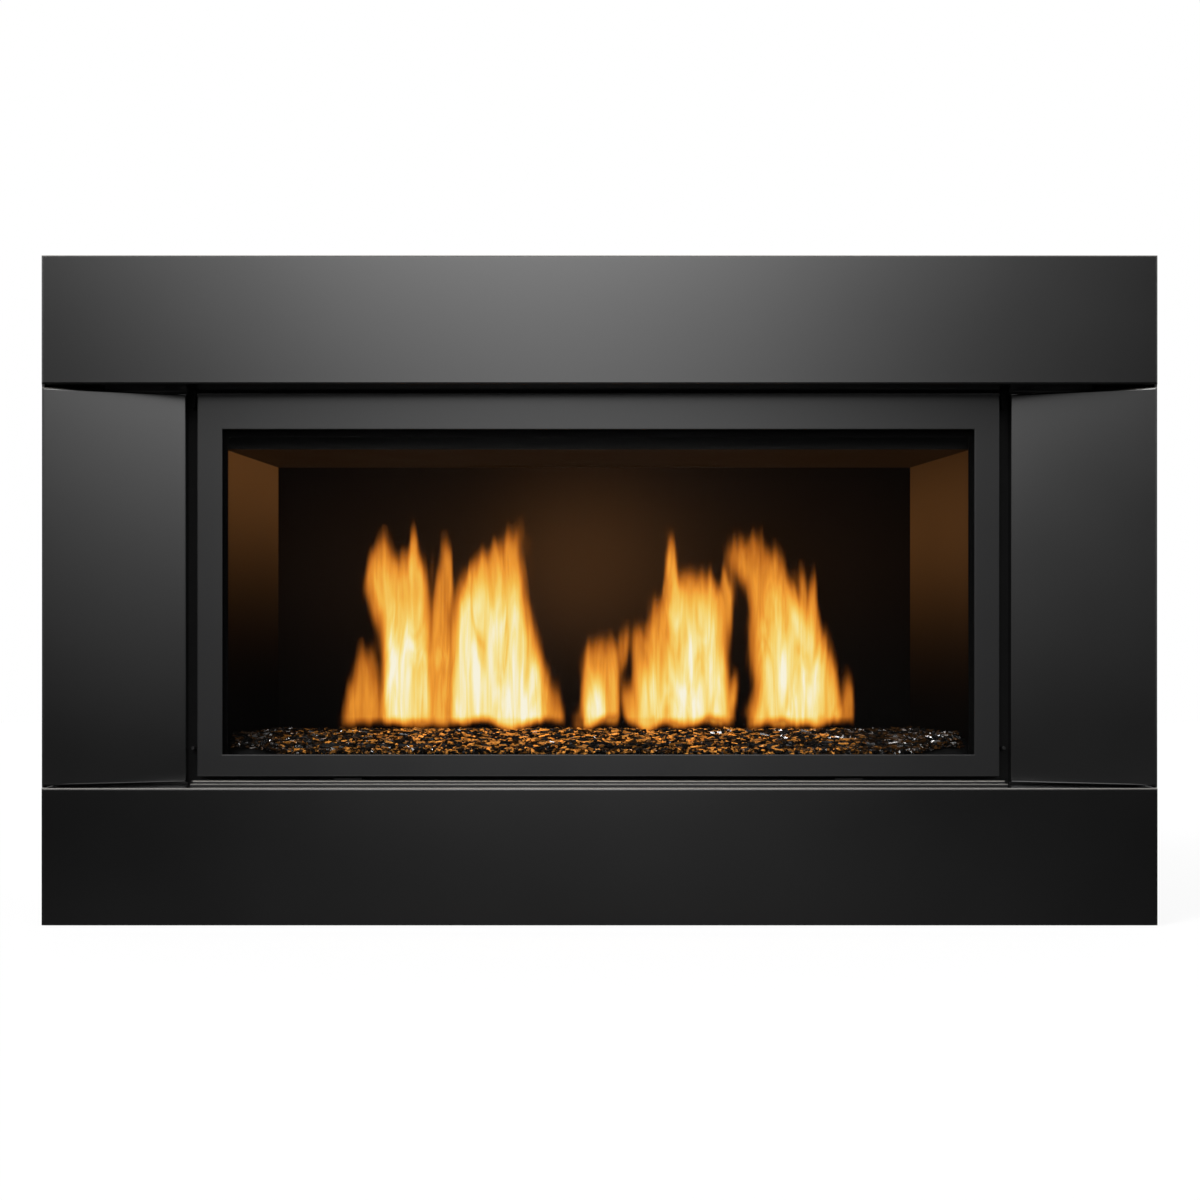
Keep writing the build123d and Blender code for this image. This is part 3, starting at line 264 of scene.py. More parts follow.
def painted_edge_highlights(coat, edges):
    """A painted highlight mask: high on the given edges, uneven along them and strongest in the
    middle.
    """
    x, y, z = coat.split(coat.place())
    uneven = coat.noise(1.0, 2.0, (6.0, 300.0, 300.0)) * 0.5 + 0.75
    painted_highlight = 0.0
    for edge_y, edge_z, deep, tall, strength in edges:
        painted_highlight = painted_highlight + coat.bell((y - edge_y) / deep, (z - edge_z) / tall) * strength
    return (painted_highlight * uneven * (coat.bell(x / 0.45) * 0.35 + 0.65)).clamp()


# %% Powder coats
def powder_coat(name, colour, rough_low, rough_high, peel, shine, edges=()):
    """A satin powder coat with an orange-peel skin and painted highlight lines on the given edges.
    """
    coat = Finish(name)
    drift = coat.noise(6.0, 2.0)
    grain = coat.noise(900.0, 2.0)
    cloud = coat.spread(drift * 0.6 + grain * 0.4, 0.3, 0.7)
    powder = coat.mix(cloud, shade(colour, 0.86), shade(colour, 1.18))
    if edges:
        # painted highlight: the colour is lightened along the given edges, where the folds catch
        # light
        powder = coat.mix(painted_edge_highlights(coat, edges), powder, EDGE_HIGHLIGHT_GREY)
    coat.surface({
        "Base Color": powder,
        "Roughness": coat.spread(drift, 0.3, 0.7, rough_low, rough_high),
        "Normal": coat.bump(grain + coat.noise(260.0, 1.0) * 0.8, peel, 0.6),
        "Specular IOR Level": shine,
    })
    return coat.material


CHARCOAL, DARK_GREY = (0.0034, 0.0034, 0.0034), (0.0113, 0.0113, 0.0115)
SURROUND_GLOSS = {"rough_low": 0.15, "rough_high": 0.167, "peel": 0.000003, "shine": 1.0}
DOOR_GLOSS = {"rough_low": 0.165, "rough_high": 0.18, "peel": 0.000006, "shine": 0.67}
surround_coat = powder_coat(
    "satin_charcoal_powder", CHARCOAL, **SURROUND_GLOSS, edges=SURROUND_HIGHLIGHT_EDGES)
door_coat = powder_coat("satin_dark_grey_powder", DARK_GREY, **DOOR_GLOSS)
# the sill's step edges get painted highlight lines
sill_coat = powder_coat("sill_powder_painted_highlights", DARK_GREY, **DOOR_GLOSS, edges=SILL_HIGHLIGHT_EDGES)
print("powder coats:", surround_coat.name, door_coat.name, sill_coat.name)

# %% [markdown]
# Behind the surround the steel only has to stand heat, so it wears a matt black stove paint that is
# drier and rougher than powder.

# %% Stove paint
def stove_paint(name, colour):
    """A dry matt black paint for hot steel."""
    paint = Finish(name)
    chalk = paint.noise(45.0, 4.0)
    speckle = paint.noise(1400.0, 2.0)
    paint.surface({
        "Base Color": paint.mix(paint.spread(chalk, 0.3, 0.75), colour, shade(colour, 1.9)),
        "Roughness": paint.spread(speckle, 0.3, 0.7, 0.62, 0.8),
        "Normal": paint.bump(speckle + chalk * 0.4, 0.00008, 0.5),
        "Specular IOR Level": 0.25,
    })
    return paint.material


black_paint = stove_paint("black_stove_paint", (0.0018, 0.0018, 0.0018))
print("stove paint:", black_paint.name)

# %% [markdown]
# ## Bare metals
# Galvanised sheet shows flat crystals, called spangle, that catch the light one by one: a Voronoi
# pattern gives each crystal its own grey and its own gloss. Plated and stainless parts are brushed
# instead, so their noise is stretched along one direction.

# %% Galvanised sheet
def galvanised_sheet():
    """Zinc-dipped sheet with spangle."""
    zinc = Finish("galvanised_sheet")
    crystals = zinc.node(
        "ShaderNodeTexVoronoi", {}, {"Vector": zinc.place(), "Scale": 85.0}, output="Color"
    )
    facet = zinc.node("ShaderNodeSeparateColor", {}, {"Color": crystals}, output=0)
    stain = zinc.noise(9.0, 4.0)
    zinc.surface({
        "Base Color": zinc.mix(facet * 0.55 + stain * 0.35, (0.30, 0.31, 0.32), (0.52, 0.53, 0.54)),
        "Roughness": zinc.spread(facet, 0.0, 1.0, 0.32, 0.5),
        "Metallic": 0.9,
        "Normal": zinc.bump(zinc.noise(300.0, 2.0) + facet * 0.3, 0.00005, 0.5),
    })
    return zinc.material


galvanised = galvanised_sheet()


# %% Brushed and cast metals
def brushed_metal(name, colour, rough, along=(4.0, 400.0, 400.0)):
    """A plated or rolled metal with fine lines along one direction."""
    metal = Finish(name)
    lines = metal.noise(1.0, 4.0, along)
    cloud = metal.noise(30.0, 3.0)
    metal.surface({
        "Base Color": metal.mix(lines * 0.6 + cloud * 0.4, shade(colour, 0.72), colour),
        "Roughness": metal.spread(lines, 0.3, 0.7, rough - 0.07, rough + 0.08),
        "Metallic": 1.0,
        "Normal": metal.bump(lines, 0.00003, 0.4),
    })
    return metal.material


def cast_metal(name, colour, rough):
    """A die-cast or drawn metal with a grainy skin."""
    metal = Finish(name)
    grit = metal.noise(700.0, 3.0)
    cloud = metal.noise(25.0, 3.0)
    metal.surface({
        "Base Color": metal.mix(cloud * 0.7 + grit * 0.3, shade(colour, 0.75), colour),
        "Roughness": metal.spread(grit, 0.3, 0.7, rough, rough + 0.14),
        "Metallic": 0.95,
        "Normal": metal.bump(grit, 0.00007, 0.6),
    })
    return metal.material


zinc_plate = brushed_metal("zinc_plate", (0.56, 0.56, 0.53), 0.32)
nickel = brushed_metal("nickel_plate", (0.68, 0.67, 0.63), 0.22)
stainless = brushed_metal("heat_tinted_stainless", (0.55, 0.50, 0.44), 0.34, (500.0, 500.0, 8.0))
cast_aluminium = cast_metal("cast_aluminium", (0.60, 0.60, 0.61), 0.36)
brass = cast_metal("machined_brass", (0.66, 0.47, 0.20), 0.26)
print("metals:", zinc_plate.name, nickel.name, stainless.name, cast_aluminium.name, brass.name)

# %% [markdown]
# ## Plastics, ceramic and woven tape
# Knobs and switch bodies are moulded in a spark-eroded tool, which leaves an even fine texture. The
# electrode's insulator is glazed alumina. The door's gasket is a flat tape of woven glass fibre, so
# two crossed waves make its over-and-under weave.

# %% Moulded plastic and ceramic
def moulded_plastic(name, colour, rough):
    """A moulded plastic with a fine spark-eroded texture."""
    plastic = Finish(name)
    texture = plastic.noise(1600.0, 2.0)
    wear = plastic.noise(40.0, 3.0)
    plastic.surface({
        "Base Color": plastic.mix(plastic.spread(wear, 0.35, 0.75), colour, shade(colour, 1.3)),
        "Roughness": plastic.spread(texture, 0.3, 0.7, rough, rough + 0.12),
        "Normal": plastic.bump(texture, 0.00004, 0.5),
    })
    return plastic.material


knob_plastic = moulded_plastic("black_knob_plastic", (0.022, 0.022, 0.023), 0.42)
red_plastic = moulded_plastic("red_button_plastic", (0.33, 0.018, 0.014), 0.22)
red_paint = moulded_plastic("red_lever_coat", (0.52, 0.05, 0.03), 0.34)
insulator = moulded_plastic("white_insulator", (0.80, 0.76, 0.70), 0.18)


# %% Woven gasket tape
def woven_tape():
    """Black glass-fibre tape with a plain weave."""
    tape = Finish("woven_gasket_tape")
    weave_scale = 260.0
    across, back = (
        tape.node(
            "ShaderNodeTexWave", {"bands_direction": "DIAGONAL"},
            {"Vector": tape.place(direction), "Scale": weave_scale},
        )
        for direction in ((1.0, 1.0, 1.0), (-1.0, 1.0, 1.0))
    )
    weave = across * back
    tape.surface({
        "Base Color": tape.mix(weave, (0.0008, 0.0008, 0.0008), (0.004, 0.0039, 0.0037)),
        "Roughness": tape.spread(weave, 0.0, 1.0, 0.95, 0.75),
        "Normal": tape.bump(weave, 0.0004, 0.8),
        "Specular IOR Level": 0.05,
    })
    return tape.material


gasket_tape = woven_tape()
print("plastics, ceramic and gasket ready")

# %% [markdown]
# ## Enamelled liners
# The firebox is lined with black enamelled steel that heat has dulled. The flames throw a brown
# light on it: a wide pool on the back wall, and a band on each side wall that fades downwards.
# Lamps inside the box would spill over the corners and stay behind when the part is used elsewhere,
# so the light that the enamel gives back is worked out from the place on the wall and glows in the
# finish itself.

# %% Heat-dulled enamel
FIRE_TINT = (1.0, 0.39, 0.10)
ENAMEL_DARK, ENAMEL_PALE = (0.0010, 0.0009, 0.0008), (0.0016, 0.0014, 0.0012)


def dull_enamel(name, firelight):
    """Fired black enamel, and the firelight that it gives back at each place."""
    enamel = Finish(name)
    bloom = enamel.noise(5.0, 3.0)
    x, _, z = enamel.split(enamel.place())
    glow = firelight(enamel, x, z) * (bloom * 0.3 + 0.85)
    enamel.surface({
        "Base Color": enamel.mix(enamel.spread(bloom, 0.3, 0.7), ENAMEL_DARK, ENAMEL_PALE),
        "Roughness": enamel.spread(bloom, 0.3, 0.7, 0.5, 0.6),
        "Normal": enamel.bump(enamel.noise(14.0, 2.0), 0.0003, 0.35),
        "Specular IOR Level": 0.01,
        "Emission Color": enamel.mix(glow, (0.0, 0.0, 0.0), FIRE_TINT),
        "Emission Strength": 1.0,
    })
    return enamel.material


def back_light(enamel, x, z):
    """A bright pool behind the gap between the flames, in a wide dim one."""
    aside, above = x + 0.008, z - 0.395
    pool = enamel.bell(aside / 0.10, above / 0.10) * 0.034
    return pool + enamel.bell(aside / 0.31, above / 0.115) * 0.0135


def left_light(enamel, x, z):
    return enamel.bell((z - 0.50) / 0.115) * 0.078


def right_light(enamel, x, z):
    return enamel.bell((z - 0.435) / 0.106) * 0.063


def ceiling_light(enamel, x, z):
    return enamel.bell(x / 0.9) * 0.0115


back_enamel = dull_enamel("dull_black_enamel_back", back_light)
left_enamel = dull_enamel("dull_black_enamel_left", left_light)
right_enamel = dull_enamel("dull_black_enamel_right", right_light)
ceiling_enamel = dull_enamel("dull_black_enamel_ceiling", ceiling_light)
print("enamels:", back_enamel.name, left_enamel.name, right_enamel.name, ceiling_enamel.name)

# %% [markdown]
# ## Door glass
# The door holds a sheet of clear glass-ceramic. Seen from the front it hardly shows, so it is
# nearly transparent, with a faint haze that varies a little and a polished skin that still
# reflects.

# %% Glass-ceramic
def clear_glass():
    """A nearly invisible polished sheet with a trace of haze."""
    glass = Finish("clear_glass_ceramic")
    haze = glass.noise(7.0, 3.0)
    glass.surface({
        "Base Color": glass.mix(haze, (0.010, 0.010, 0.010), (0.016, 0.015, 0.014)),
        "Roughness": glass.spread(haze, 0.3, 0.7, 0.02, 0.05),
        "Alpha": glass.spread(haze, 0.2, 0.8, 0.015, 0.03),
    })
    return glass.material


door_glass = clear_glass()
print("glass ready")

# %% [markdown]
# ## Dress the solids
# Each finish goes to the nodes that wear it. A solid keeps its own shape, so only its material
# slots change. The record names a slot for each node, and the same slot names pick the finish here.

# %% Give every solid its finish
FINISHES = {
    "surround": surround_coat,
    "door_paint": door_coat,
    "black_paint": black_paint,
    "zinc": zinc_plate,
    "galvanised": galvanised,
    "stainless": stainless,
    "cast_aluminium": cast_aluminium,
    "brass": brass,
    "magnet": nickel,
    "glass": door_glass,
    "gasket": gasket_tape,
    "enamel": back_enamel,
    "media": black_paint,
    "ceramic": insulator,
    "knob_plastic": knob_plastic,
    "button_plastic": red_plastic,
    "lever": red_paint,
}
slot_of = {part["node"]: part["material_slot"] for part in frame["record"]["subparts"]}
for name, solid in nodes.items():
    solid.data.materials.clear()
    solid.data.materials.append(FINISHES[slot_of[name]])
EXCEPTIONS = {
    "sill_track": sill_coat,
    "left_liner": left_enamel,
    "right_liner": right_enamel,
    "ceiling_liner": ceiling_enamel,
    "door_catch_springs": black_paint,
    "door_guide_studs": black_paint,
    "corner_spacers": black_paint,
}
for name, finish in EXCEPTIONS.items():
    nodes[name].data.materials[0] = finish
print("dressed", len(nodes), "solids with", len(set(slot_of.values())), "finishes")


# %% [markdown]
# ## Building a piece
# Every new piece is a mesh made in code. One helper turns points and faces into an object, gives it
# its material, and lets it ride on the body that carries it.

# %% Turn points and faces into a piece
def make_piece(name, points, faces, material, body=BODY, smooth=True):
    """A mesh object from points and faces, riding on a body."""
    mesh = bpy.data.meshes.new(name)
    mesh.from_pydata(points, [], faces)
    mesh.validate()
    mesh.polygons.foreach_set("use_smooth", [smooth] * len(mesh.polygons))
    mesh.materials.append(material)
    piece = bpy.data.objects.new(name, mesh)
    bpy.context.scene.collection.objects.link(piece)
    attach(piece, body)
    return piece


# %% [markdown]
# ## The bed of crushed glass
# The media is thousands of loose splinters of tumbled glass, some bronze, some black. Real chips
# are what the eye reads here, so each one is modelled: a flat six-sided sliver with one pointed
# end, lying at its own slant. A dark mound under them fills the tray, as the lower layers do.

# %% Read the shape of the bed
BED_LOW, BED_HIGH = (Vector(corner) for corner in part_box("media_bed"))
TRAY_LOW, TRAY_HIGH = (Vector(corner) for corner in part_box("burner_tray"))
CREST_Y = -0.010
CREST_LEVEL = BED_HIGH.z
FRONT_LEVEL = TRAY_HIGH.z + 0.001
BACK_LEVEL = TRAY_HIGH.z + 0.006
LEDGE_FRONT_LEVEL = 0.1775
LEDGE_BACK_LEVEL = 0.1855
BED_ARC = 1.7
FIREBOX_FRONT_HALF, FIREBOX_BACK_HALF, FIREBOX_DEPTH = 0.407, 0.3792, 0.226
TAPER = (FIREBOX_FRONT_HALF - FIREBOX_BACK_HALF) / FIREBOX_DEPTH
# the glass is heaped from this far out, over this width, and over this depth behind the door
HEAP_START, HEAP_REACH, HEAP_RISE = 0.325, 0.050, 0.020


def bed_profile(y):
    """Height of the bed at a depth y: the bank before the tray, then an arc over the burner."""
    if y < TRAY_LOW.y:
        share = (y - BED_LOW.y) / (TRAY_LOW.y - BED_LOW.y)
        return LEDGE_FRONT_LEVEL + (LEDGE_BACK_LEVEL - LEDGE_FRONT_LEVEL) * share
    if y < CREST_Y:
        reach = (y - CREST_Y) / (TRAY_LOW.y - CREST_Y)
        return CREST_LEVEL - (CREST_LEVEL - FRONT_LEVEL) * reach ** BED_ARC
    reach = (y - CREST_Y) / (BED_HIGH.y - CREST_Y)
    return CREST_LEVEL - (CREST_LEVEL - BACK_LEVEL) * reach ** BED_ARC


def bed_level(x, y):
    """Height of the bed at a point, with the glass heaped up against both side walls."""
    heap = min(max((abs(x) - HEAP_START) / HEAP_REACH, 0.0), 1.0)
    behind_glass = min((y - BED_LOW.y) / HEAP_RISE, 1.0)
    return bed_profile(y) + (CREST_LEVEL - bed_profile(y)) * heap * heap * behind_glass


def bed_half_width(y):
    """Half the bed's width at a depth y, from the taper of the firebox."""
    return BED_HIGH.x - (y - BED_LOW.y) * TAPER


print("bed from", tuple(round(v, 3) for v in BED_LOW), "to", tuple(round(v, 3) for v in BED_HIGH))


# %% Chip colours
def chip_glass(name, dark, light):
    """Tumbled glass whose colour changes from chip to chip through a stored value, with painted
    firelight in it.
    """
    glass = Finish(name)
    tone_and_firelight = glass.node("ShaderNodeAttribute", {"attribute_name": "chip_tone"}, output="Fac")
    polish = glass.node("ShaderNodeAttribute", {"attribute_name": "chip_polish"}, output="Fac")
    grain = glass.noise(500.0, 2.0)
    glass.surface({
        "Base Color": glass.mix(tone_and_firelight * (grain * 0.6 + 0.7), dark, light),
        "Roughness": glass.spread(grain, 0.3, 0.7, 0.35, 0.5),
        "Normal": glass.bump(grain, 0.0001, 0.4),
        "Specular IOR Level": 0.06,
        "Coat Weight": polish,
        "Coat Roughness": 0.06,
        "Coat IOR": 1.6,
    })
    return glass.material


bronze_chip = chip_glass("bronze_fire_glass", (0.002, 0.0015, 0.001), (0.64, 0.26, 0.045))
black_chip = chip_glass("black_fire_glass", (0.003, 0.003, 0.003), (0.008, 0.007, 0.006))


# %% One chip
def chip_points(centre, length, width, thick, yaw, pitch, roll, draw):
    """Eight corners of a sliver: a blunt end, a pointed end and uneven sides."""
    tip = draw.uniform(0.25, 0.6)
    corners = []
    for along, breadth in ((-0.5, draw.uniform(0.6, 1.0)), (0.5, tip)):
        for side, lift in ((-0.5, -0.5), (0.5, -0.5), (0.5, 0.5), (-0.5, 0.5)):
            jitter = draw.uniform(-0.12, 0.12)
            height = lift * thick * draw.uniform(0.7, 1.0)
            corners.append(Vector(((along + jitter) * length, side * breadth * width, height)))
    turned = []
    for corner in corners:
        corner.rotate(Euler((roll, pitch, yaw)))
        turned.append(centre + corner)
    return turned


# how far the middle of a chip keeps from the edge of the bed, so that no tip reaches the metal
CHIP_MARGIN = 0.009
CHIP_LENGTH, CHIP_WIDTH, CHIP_THICK = (0.007, 0.0145), (0.0026, 0.0048), (0.0016, 0.0030)
CHIP_LIFT, CHIP_PITCH, CHIP_ROLL = (-0.0040, -0.0002), (-0.30, 0.30), (-0.7, 0.7)
# the middle of the painted firelight on the bed, and half its width
LIT_MIDDLE, LIT_REACH = -0.025, 0.345
CHIP_FACES = ((0, 3, 2, 1), (4, 5, 6, 7), (0, 1, 5, 4), (1, 2, 6, 5), (2, 3, 7, 6), (3, 0, 4, 7))


# %% Scatter the chips
def scatter_chips(name, material, count, seed, bright_share):
    """Chips strewn over the bed, with a tone for each stored on its faces, brighter where firelight
    is painted.
    """
    draw = random.Random(seed)
    points, faces, tones_and_firelight, polishes = [], [], [], []
    for _ in range(count):
        y = BED_LOW.y + (BED_HIGH.y - BED_LOW.y) * draw.random() ** 1.5
        y = min(max(y, BED_LOW.y + CHIP_MARGIN), BED_HIGH.y - CHIP_MARGIN)
        x = draw.uniform(-1.0, 1.0) * (bed_half_width(y) - CHIP_MARGIN)
        length = draw.uniform(*CHIP_LENGTH)
        width = draw.uniform(*CHIP_WIDTH)
        thick = draw.uniform(*CHIP_THICK)
        z = bed_level(x, y) + draw.uniform(*CHIP_LIFT)
        yaw = draw.gauss(0.0, 0.6) if draw.random() < 0.6 else draw.uniform(0.0, math.pi)
        corners = chip_points(
            Vector((x, y, z)), length, width, thick, yaw,
            draw.uniform(*CHIP_PITCH), draw.uniform(*CHIP_ROLL), draw,
        )
        first = len(points)
        points.extend(corners)
        faces.extend(tuple(first + corner for corner in face) for face in CHIP_FACES)
        # painted firelight: chips under the flames, near the middle of the bed, get brighter tones,
        # and the ends stay dark
        lit = max(0.0, 1 - (abs(x - LIT_MIDDLE) / LIT_REACH) ** 4)
        tone_and_firelight = draw.uniform(0.0, 0.06)
        if draw.random() < lit * bright_share:
            tone_and_firelight = (0.2 + 0.8 * draw.random() ** 1.4) * (0.4 + 0.6 * lit)
        tones_and_firelight.extend([tone_and_firelight] * len(CHIP_FACES))
        polish = 1.0 if draw.random() < 0.8 - 0.72 * lit else 0.0
        polishes.extend([polish] * len(CHIP_FACES))
    piece = make_piece(name, points, faces, material, smooth=False)
    for key, values in (("chip_tone", tones_and_firelight), ("chip_polish", polishes)):
        piece.data.attributes.new(key, "FLOAT", "FACE").data.foreach_set("value", values)


CHIP_COUNT = 6400
scatter_chips("bronze_media_chips", bronze_chip, CHIP_COUNT, seed=11, bright_share=0.72)
scatter_chips("black_media_chips", black_chip, CHIP_COUNT, seed=12, bright_share=0.3)
print("chips:", 2 * CHIP_COUNT)


# %% The mound under the chips
MOUND_DROP, MOUND_PLAY = 0.0055, 0.0005


def media_mound():
    """The lower layers of glass: a grid over the bed, closed down to the tray's floor."""
    across, deep = 60, 40
    points, faces = [], []
    floor_z = BED_LOW.z + MOUND_PLAY
    for level in ("top", "floor"):
        for row in range(deep + 1):
            y = BED_LOW.y + (BED_HIGH.y - BED_LOW.y) * row / deep
            for column in range(across + 1):
                x = (2 * column / across - 1) * (bed_half_width(y) - MOUND_PLAY)
                z = bed_level(x, y) - MOUND_DROP if level == "top" else floor_z
                points.append((x, y, z))
    stride = across + 1
    layer = stride * (deep + 1)
    for row in range(deep):
        for column in range(across):
            a = row * stride + column
            faces.append((a, a + 1, a + stride + 1, a + stride))
            faces.append((layer + a, layer + a + stride, layer + a + stride + 1, layer + a + 1))
    rim = list(range(stride))
    rim += [row * stride + across for row in range(1, deep + 1)]
    rim += [deep * stride + column for column in range(across - 1, -1, -1)]
    rim += [row * stride for row in range(deep - 1, 0, -1)]
    for here, there in zip(rim, rim[1:] + rim[:1]):
        faces.append((here, layer + here, layer + there, there))
    return make_piece("media_lower_layers", points, faces, black_chip)


mound = media_mound()
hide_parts("media_bed")
print("mound faces:", len(mound.data.polygons))

# %% [markdown]
# ## The flames
# A flame has no surface, only glowing gas that is pale where it is hottest, orange where it is
# cooler and clear where it ends. So each flame is first a map of heat: lobes are drawn as a height,
# a left and a right edge and a heat at each height, and cores add to them. A thin closed sheet then
# carries the map as a value stored on its points, and the finish turns heat into colour and into
# transparency.

# %% Flame finish
HEAT = (
    (0.00, (0.28, 0.070, 0.008)),
    (0.23, (0.60, 0.170, 0.015)),
    (0.43, (0.88, 0.330, 0.034)),
    (0.57, (0.94, 0.500, 0.072)),
    (0.69, (0.96, 0.660, 0.150)),
    (0.83, (0.97, 0.810, 0.330)),
    (1.00, (0.98, 0.930, 0.740)),
)


def flame_gas(name, gain, body):
    """Glowing gas whose colour and transparency follow the stored heat, with upright streaks."""
    gas = Finish(name)
    heat = gas.node("ShaderNodeAttribute", {"attribute_name": "warmth"}, output="Fac")
    broad = gas.noise(1.0, 2.0, (52.0, 20.0, 8.0), 1.3) - 0.5
    fine = gas.noise(1.0, 2.0, (190.0, 20.0, 11.0), 1.1) - 0.5
    streak = (broad * 1.35 + fine * 0.45) * (heat * 0.6 + 0.14)
    hot = heat * gain + streak * 1.15
    glow = gas.node("ShaderNodeValToRGB", {"stops": HEAT}, {"Fac": hot.clamp()}, output="Color")
    clear = gas.node(
        "ShaderNodeMapRange", {"interpolation_type": "SMOOTHSTEP", "clamp": True},
        {"Value": heat + streak, "From Min": 0.0, "From Max": 0.50},
    )
    gas.surface({
        "Base Color": (0.0, 0.0, 0.0, 1.0),
        "Roughness": 1.0,
        "Specular IOR Level": 0.0,
        "Emission Color": glow,
        "Emission Strength": 1.0,
        "Alpha": clear * body,
    })
    return gas.material


flame_front = flame_gas("flame_front_gas", 1.0, 0.95)
flame_veil = flame_gas("flame_veil_gas", 0.8, 0.5)
print("flame gases ready")


# %% Heat of a lobe
def ease(share):
    """A smooth step from 0 to 1."""
    share = min(max(share, 0.0), 1.0)
    return share * share * (3 - 2 * share)


def lobe_heat(stations, softness, x, z):
    """Heat of one lobe at a point: full inside, easing to nothing over its soft edge."""
    if z < stations[0][0] or z > stations[-1][0]:
        return 0.0
    for low, high in zip(stations, stations[1:]):
        if z <= high[0]:
            share = ease((z - low[0]) / (high[0] - low[0]))
            left, right, heat = (a + (b - a) * share for a, b in zip(low[1:], high[1:]))
            inside = min(x - left, right - x) + softness * 0.22
            return heat * ease(inside / min(softness, max(0.5, (right - left) / 2)))
    return 0.0


def flame_heat(lobes, cores, x, z):
    """Heat of a whole flame: its hottest lobe, and the cores that glow through it."""
    heat = max(lobe_heat(stations, softness, x, z) for softness, stations in lobes)
    for softness, stations in cores:
        heat += (1 - heat) * lobe_heat(stations, softness, x, z)
    return heat


# %% [markdown]
# The gas is stirred as it rises, so the map is looked up a little to the left or right of each
# point, by a smooth noise that grows with height. The sheet is thickest where it is hottest, its
# front and back meet where the heat ends, and it sways in depth, so that it is no flat card from
# the side.

# %% A sheet of gas
STEP_X, STEP_Z = 2.0, 3.0
FLAME_FOOT = 199.0
COLD = 0.02
BLUR = 4
SIDE_ROOM, TOP_ROOM = 12, 14
SHEET_BELLY = 0.007


def stirred_heat(lobes, cores, x, z, stir, seed):
    """Heat at a point after the gas has been stirred sideways and drawn up in licks."""
    rise = (z - FLAME_FOOT) / 220
    swirl = noise.noise(Vector((x / 16, z / 34, seed)))
    swirl += 0.5 * noise.noise(Vector((x / 7, z / 20, seed)))
    lick = noise.noise(Vector((x / 7, z / 60, seed + 9))) * (2 + 10 * rise)
    return flame_heat(lobes, cores, x + swirl * stir * (0.35 + rise), z + lick)


def foot_fade(x, z, seed):
    """How far a point is above the ragged foot of the flame, from 0 to 1."""
    foot = 14 * noise.noise(Vector((x / 38, seed, 0.0)))
    foot += 3 * noise.noise(Vector((x / 13, seed, 3.0)))
    return ease((z - FLAME_FOOT - foot) / 16)


def flame_sheet(name, lobes, cores, depth_y, gas, stir, seed):
    """A closed sheet of gas with its heat stored on its points. Lobes are in millimetres."""
    edges = [row for _, stations in lobes for row in stations]
    x_low = min(row[1] for row in edges) - SIDE_ROOM
    x_high = max(row[2] for row in edges) + SIDE_ROOM
    z_high = max(row[0] for row in edges) + TOP_ROOM
    columns = int((x_high - x_low) / STEP_X)
    rows = int((z_high - FLAME_FOOT) / STEP_Z)
    raw, heat, place = {}, {}, {}
    grid = [(row, column) for row in range(rows + 1) for column in range(columns + 1)]
    for row, column in grid:
        x, z = x_low + column * STEP_X, FLAME_FOOT + row * STEP_Z
        raw[row, column] = stirred_heat(lobes, cores, x, z, stir, seed)
        sway = 9 * noise.noise(Vector((x / 60, z / 90, seed + 5)))
        place[row, column] = Vector((x / 1000, depth_y + sway / 1000, z / 1000))
    for row, column in grid:
        span = range(max(0, row - BLUR), min(rows, row + BLUR) + 1)
        near = [raw[other, column] for other in span]
        x, z = x_low + column * STEP_X, FLAME_FOOT + row * STEP_Z
        heat[row, column] = sum(near) / len(near) * foot_fade(x, z, seed)
    rings = []
    for row in range(rows):
        for column in range(columns):
            ring = ((row, column), (row, column + 1), (row + 1, column + 1), (row + 1, column))
            if max(heat[key] for key in ring) > COLD:
                rings.append(ring)
    points, warmth, number = [], [], {}
    for key in sorted({key for ring in rings for key in ring}):
        belly = Vector((0, SHEET_BELLY * math.sqrt(max(0.0, heat[key] - COLD)), 0))
        for side in ((-1, 1) if heat[key] > COLD else (0,)):
            number[side, key] = len(points)
            points.append(place[key] + belly * side)
            warmth.append(heat[key])
    faces = []
    for side in (-1, 1):
        for ring in rings:
            loop = [number.get((side, key), number.get((0, key))) for key in ring]
            faces.append(tuple(loop[::-side]))
    piece = make_piece(name, points, faces, gas)
    piece.data.attributes.new("warmth", "FLOAT", "POINT").data.foreach_set("value", warmth)
    piece.visible_shadow = False
    piece.visible_diffuse = False
    piece.visible_glossy = False
    print(name, "faces:", len(faces))


# %% [markdown]
# The lobes below follow the real flames: a tall pair on the left with an orange valley between
# them, one small flame in the middle, a spired flame, and on the right a flame whose plume leans
# back over the dark gap. Each row is a height, a left edge, a right edge and a heat.

